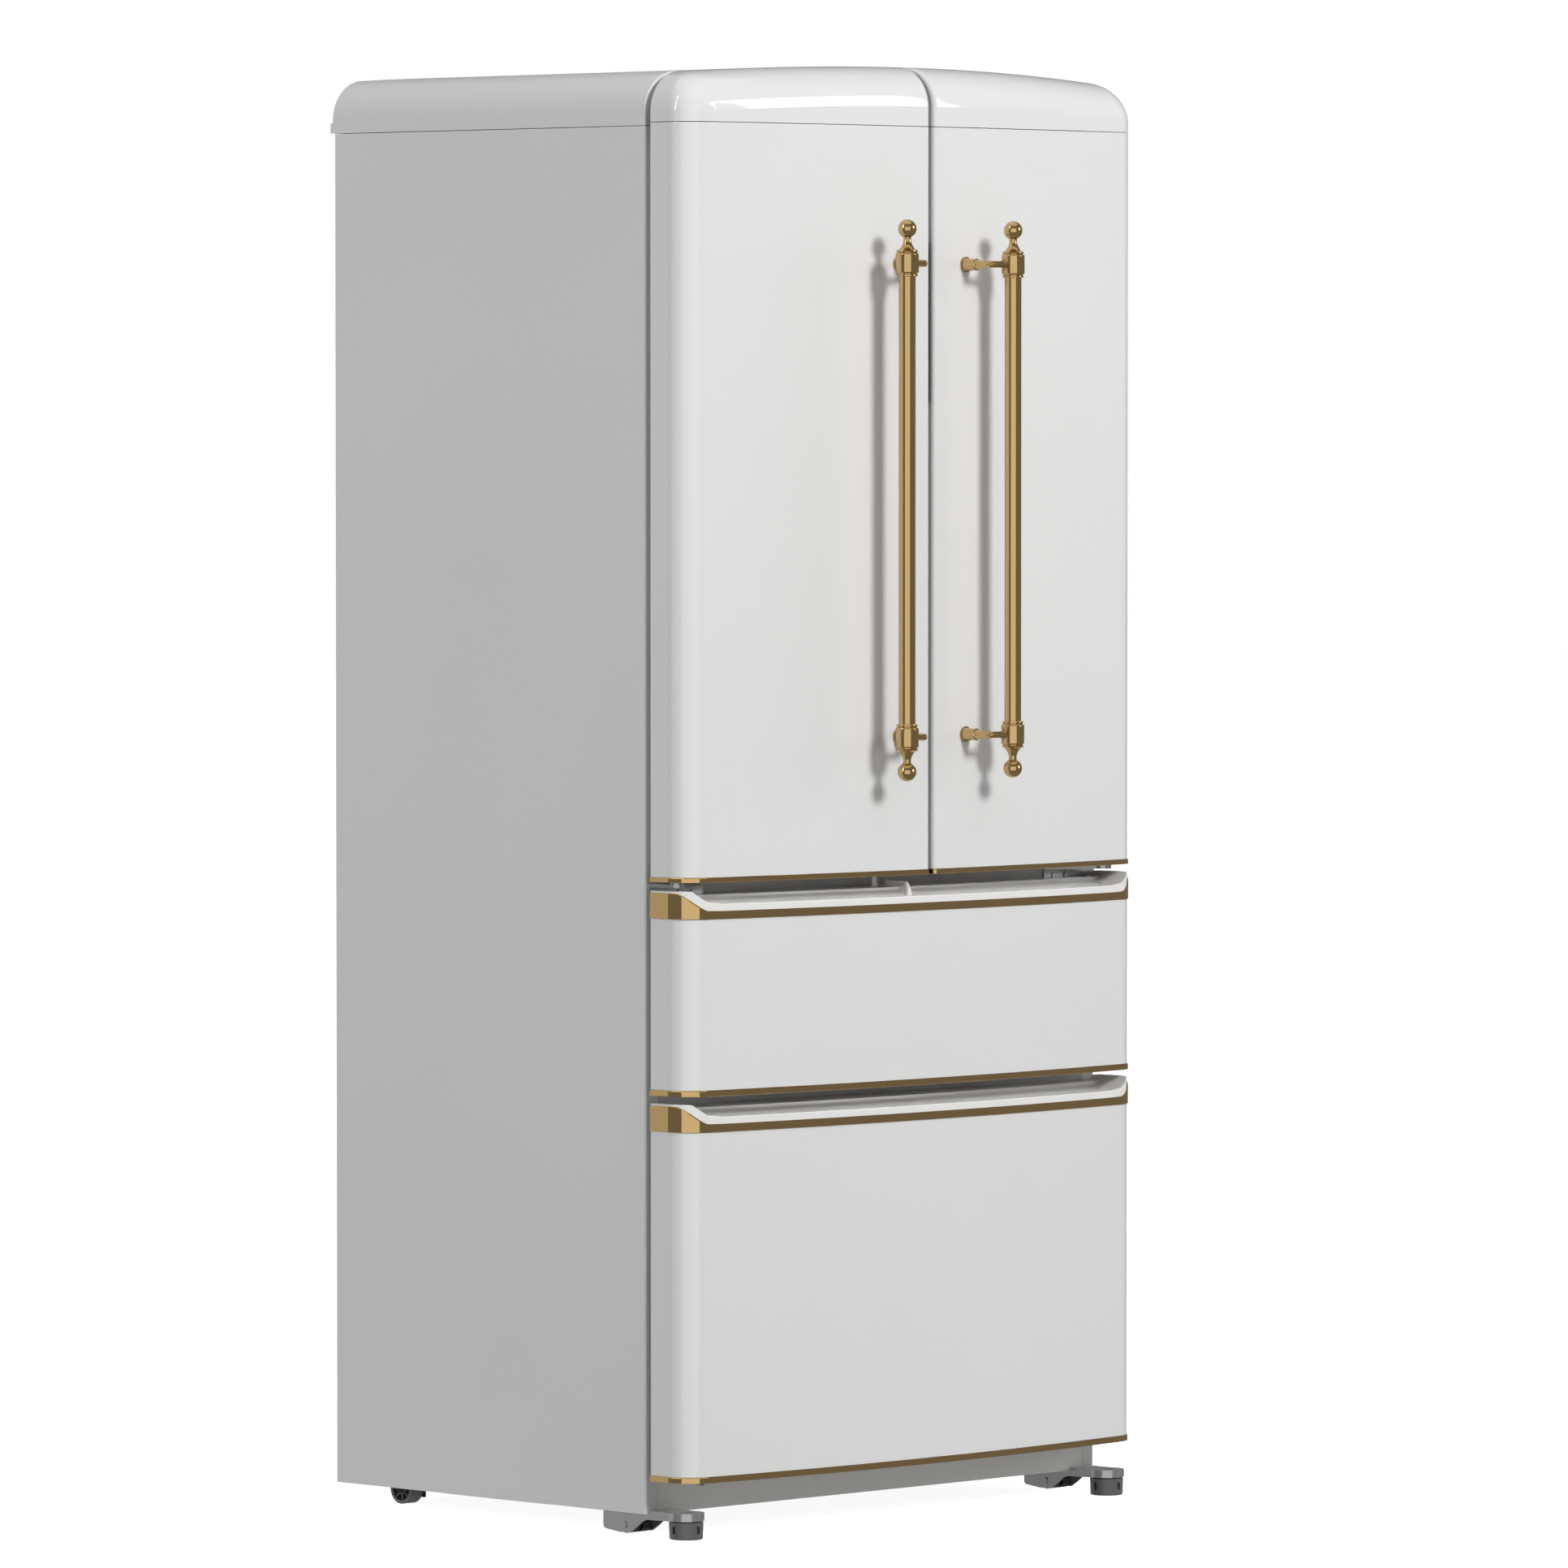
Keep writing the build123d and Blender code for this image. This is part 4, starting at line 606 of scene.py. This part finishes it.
# ---- handles -------------------------------------------------------------------------------
def lathe(work, profile, origin, direction, steps=64):
    """Turns a profile of (radius, height) about direction through origin."""
    turn = Vector((0, 0, 1)).rotation_difference(Vector(direction)).to_matrix()
    rows = []
    for radius, height in profile:
        row = []
        for i in range(steps):
            angle = 2 * pi * i / steps
            row.append(Vector(origin) + turn @ Vector((radius * cos(angle), radius * sin(angle), height)))
        rows.append(row)
    made = add_grid(work, rows, closed_across=True)
    for row in (made[0], made[-1]):
        if (row[0].co - row[1].co).length > 1e-6:
            add_cap(work, row)


def ball_profile(radius, centre, start_r, steps=18):
    """Profile of a ball above the radius at which it leaves its neck."""
    start = asin(start_r / radius)
    return [(radius * sin(a), centre - radius * cos(a)) for a in arc_steps(start, pi, steps)]


ROD_R = 10.3               # these and the profiles below in millimetres
BALL_R = 11.5
BALL_OFFSET = 41.8
FERRULE_R = 14.25
FLANGE_R = 9.75
NECK_R = 5.1
FERRULE_END = (            # radius and height of the turned end above the ferrule's middle
    (ROD_R, -16.4), (12.2, -16.4), (12.9, -15.9), (13.1, -15.0), (12.9, -14.2), (12.2, -13.7), (12.2, -12.8),
    (13.1, -12.4), (13.9, -11.6), (FERRULE_R, -10.4), (FERRULE_R, 10.4), (13.9, 11.4), (13.1, 12.2),
    (12.3, 12.5), (12.3, 13.3), (13.1, 13.7), (13.5, 14.5), (13.3, 15.3), (12.6, 15.8), (10.7, 16.9),
    (8.7, 18.6), (7.1, 20.6), (6.0, 22.8), (5.2, 25.2), (4.75, 27.4), (4.75, 30.4), (NECK_R, 30.9),
    (NECK_R, 31.4),
)
ELBOW_BACK = 5.0 * MM      # from the bar's axis back to the stem's elbow

for side, name in ((-1, "left"), (1, "right")):
    bar_low, bar_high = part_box(f"{name}_handle_bar")
    rod_x, rod_y = (bar_low.x + bar_high.x) / 2, (bar_low.y + bar_high.y) / 2
    end_reach = (BALL_OFFSET + BALL_R) * MM
    lower_z, upper_z = bar_low.z + end_reach, bar_high.z - end_reach
    end = [(r * MM, z * MM) for r, z in FERRULE_END]
    end += ball_profile(BALL_R * MM, BALL_OFFSET * MM, NECK_R * MM)[1:]
    profile = [(r, lower_z - z) for r, z in reversed(end)] + [(r, upper_z + z) for r, z in end]
    work = bmesh.new()
    lathe(work, profile, (rod_x, rod_y, 0), (0, 0, 1))
    finish_piece(f"{name}_handle", work, BRASS, f"{name}_door", (f"{name}_handle_bar",), radians(32))

    post_low, post_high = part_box(f"{name}_handle_posts")
    flange_r = FLANGE_R * MM
    post_x = post_low.x + flange_r if side > 0 else post_high.x - flange_r
    base_y = bow_y(post_x)
    elbow_y = rod_y + ELBOW_BACK
    reach = (base_y - elbow_y) / MM
    stem = ((0, -0.8), (9.2, -0.8), (FLANGE_R, 0.2), (FLANGE_R, 1.6), (9.3, 2.4), (8.4, 2.8), (7.9, 4),
            (7.0, 15.5), (6.7, 17.4), (7.2, 17.9), (7.4, 18.8), (7.3, 19.8), (6.8, 20.3), (6.1, 20.7),
            (5.6, 22.5), (5.0, 27), (4.65, reach - 2.5), (4.5, reach), (4.0, reach + 2), (2.9, reach + 3.5),
            (1.5, reach + 4.3), (0, reach + 4.55))
    posts = bmesh.new()
    for z in (lower_z, upper_z):
        lathe(posts, [(r * MM, h * MM) for r, h in stem], (post_x, base_y, z), (0, -1, 0), 48)
        arm = Vector((rod_x - post_x, rod_y - elbow_y, 0))
        run = arm.length - (FERRULE_R - 1.0) * MM
        neck = ((0, 0), (4.2, 0), (4.2, run / MM - 4), (4.6, run / MM - 2.5), (5.2, run / MM), (0, run / MM))
        lathe(posts, [(r * MM, h * MM) for r, h in neck], (post_x, elbow_y, z), arm, 40)
    finish_piece(f"{name}_handle_brackets", posts, BRASS, f"{name}_door", (f"{name}_handle_posts",),
                 radians(34))


# ---- floor, camera and light ---------------------------------------------------------------
def floor():
    """Plain pale floor, nearly as bright as the background, with only a faint contact shadow."""
    bpy.ops.mesh.primitive_plane_add(size=60, location=(0, 0, -0.0005))
    plane = bpy.context.object
    plane.name = "studio_floor"
    material = bpy.data.materials.new("studio_floor_white")
    material.use_nodes = True
    shader = material.node_tree.nodes["Principled BSDF"]
    shader.inputs["Base Color"].default_value = (0.9, 0.9, 0.9, 1)
    shader.inputs["Roughness"].default_value = 0.9
    shader.inputs["Emission Color"].default_value = (1, 1, 1, 1)
    shader.inputs["Emission Strength"].default_value = 0.92
    plane.data.materials.append(material)
    plane.visible_diffuse = False
    plane.visible_glossy = False


floor()

CAMERA_AT = (-9.30156, -9.32935, 1.37072)
CAMERA_AZIMUTH = radians(45.0424)
CAMERA_PITCH = radians(2.0602)
camera = bpy.data.objects.new("camera", bpy.data.cameras.new("camera"))
camera.data.lens = 242.91
camera.data.sensor_width = 36
camera.data.clip_end = 200
camera.location = CAMERA_AT
level_part = cos(CAMERA_PITCH)
ahead = Vector((sin(CAMERA_AZIMUTH) * level_part, cos(CAMERA_AZIMUTH) * level_part, -sin(CAMERA_PITCH)))
camera.rotation_mode = "QUATERNION"
camera.rotation_quaternion = ahead.to_track_quat("-Z", "Y")
bpy.context.scene.collection.objects.link(camera)
bpy.context.scene.camera = camera


LIGHT_AIM = Vector((0, 0, 0.9))


def softbox(name, azimuth, elevation, distance, size, power):
    """Area light aimed at the object's middle and left out of reflections; azimuth runs from +X to +Y."""
    light = bpy.data.lights.new(name, "AREA")
    light.shape = "RECTANGLE"
    light.size, light.size_y = size
    light.energy = power
    lamp = bpy.data.objects.new(name, light)
    a, e = radians(azimuth), radians(elevation)
    out = Vector((cos(a) * cos(e), sin(a) * cos(e), sin(e)))
    lamp.location = LIGHT_AIM + out * distance
    lamp.rotation_mode = "QUATERNION"
    lamp.rotation_quaternion = out.to_track_quat("Z", "Y")
    lamp.visible_glossy = False
    lamp.visible_camera = False
    bpy.context.scene.collection.objects.link(lamp)


LIGHTS = (                 # azimuth, elevation, distance, width and height, power
    ("key_light", -91, 28, 9, (1.7, 1.7), 480),
    ("right_fill", -28, 12, 9, (3.0, 3.0), 145),
    ("left_fill", 175, 12, 9, (5.0, 5.0), 288),
    ("top_light", -88, 62, 7, (4.0, 4.0), 70),
    ("low_fill", -100, -6, 7, (3.0, 0.3), 12),
)
for light in LIGHTS:
    softbox(*light)


STUDIO_GREY = 0.24
REFLECTED = (              # azimuths in degrees, sines of the elevations, and strength added to the grey
    (195, 262, -0.38, 0.38, 0.80),                             # large window at the front left
    (60, 137, -1.1, 1.1, 0.42),                                # pale wall behind
    (166, 171, 0.12, 0.72, 9.0),                               # narrow strip light at the left
    (303, 318, 0.07, 0.40, 6.0),                               # lamp at the right, seen in the domes
    (-1, 361, 0.80, 1.1, 0.55),                                # ceiling
)
FILL_BELOW = 0.30          # soft light below and above the horizon, and what the large window adds
FILL_ABOVE = 0.11
FILL_WINDOW = 0.10


def world_light():
    """White behind the object for the camera; a grey studio with windows and lamps for reflections."""
    world = bpy.data.worlds.new("studio")
    bpy.context.scene.world = world
    world.use_nodes = True
    nodes, links = world.node_tree.nodes, world.node_tree.links
    nodes.clear()
    direction = nodes.new("ShaderNodeTexCoord")
    split = nodes.new("ShaderNodeSeparateXYZ")
    links.new(direction.outputs["Generated"], split.inputs[0])

    def calc(operation, a, b=None):
        made = nodes.new("ShaderNodeMath")
        made.operation = operation
        for socket, value in zip(made.inputs, (a, b)):
            if value is None:
                continue
            if isinstance(value, (int, float)):
                socket.default_value = value
            else:
                links.new(value, socket)
        return made.outputs[0]

    x, y, z = split.outputs
    azimuth = calc("ARCTAN2", y, x)                                # -pi to pi from +X towards +Y
    azimuth = calc("ADD", azimuth, calc("MULTIPLY", calc("LESS_THAN", azimuth, 0.0), 2 * pi))

    def between(value, low, high):
        return calc("MULTIPLY", calc("GREATER_THAN", value, low), calc("LESS_THAN", value, high))

    patches = [calc("MULTIPLY", between(azimuth, radians(start), radians(end)), between(z, low, high))
               for start, end, low, high, _ in REFLECTED]
    glow = STUDIO_GREY
    for patch, values in zip(patches, REFLECTED):
        glow = calc("ADD", glow, calc("MULTIPLY", patch, values[-1]))
    rays = nodes.new("ShaderNodeLightPath")
    glossy = nodes.new("ShaderNodeBackground")
    links.new(glow, glossy.inputs["Strength"])
    fill = nodes.new("ShaderNodeBackground")
    sky = calc("MULTIPLY", calc("GREATER_THAN", z, 0.0), FILL_ABOVE - FILL_BELOW)
    sky = calc("ADD", FILL_BELOW, sky)
    sky = calc("ADD", sky, calc("MULTIPLY", patches[0], FILL_WINDOW))
    links.new(sky, fill.inputs["Strength"])
    white = nodes.new("ShaderNodeBackground")
    white.inputs["Strength"].default_value = 1.0               # the background as the camera sees it
    for background in (glossy, fill, white):
        background.inputs["Color"].default_value = (1, 1, 1, 1)
    first = nodes.new("ShaderNodeMixShader")
    links.new(rays.outputs["Is Glossy Ray"], first.inputs["Fac"])
    links.new(fill.outputs[0], first.inputs[1])
    links.new(glossy.outputs[0], first.inputs[2])
    second = nodes.new("ShaderNodeMixShader")
    links.new(rays.outputs["Is Camera Ray"], second.inputs["Fac"])
    links.new(first.outputs[0], second.inputs[1])
    links.new(white.outputs[0], second.inputs[2])
    out = nodes.new("ShaderNodeOutputWorld")
    links.new(second.outputs[0], out.inputs["Surface"])


world_light()
bpy.context.scene.view_settings.view_transform = "Standard"
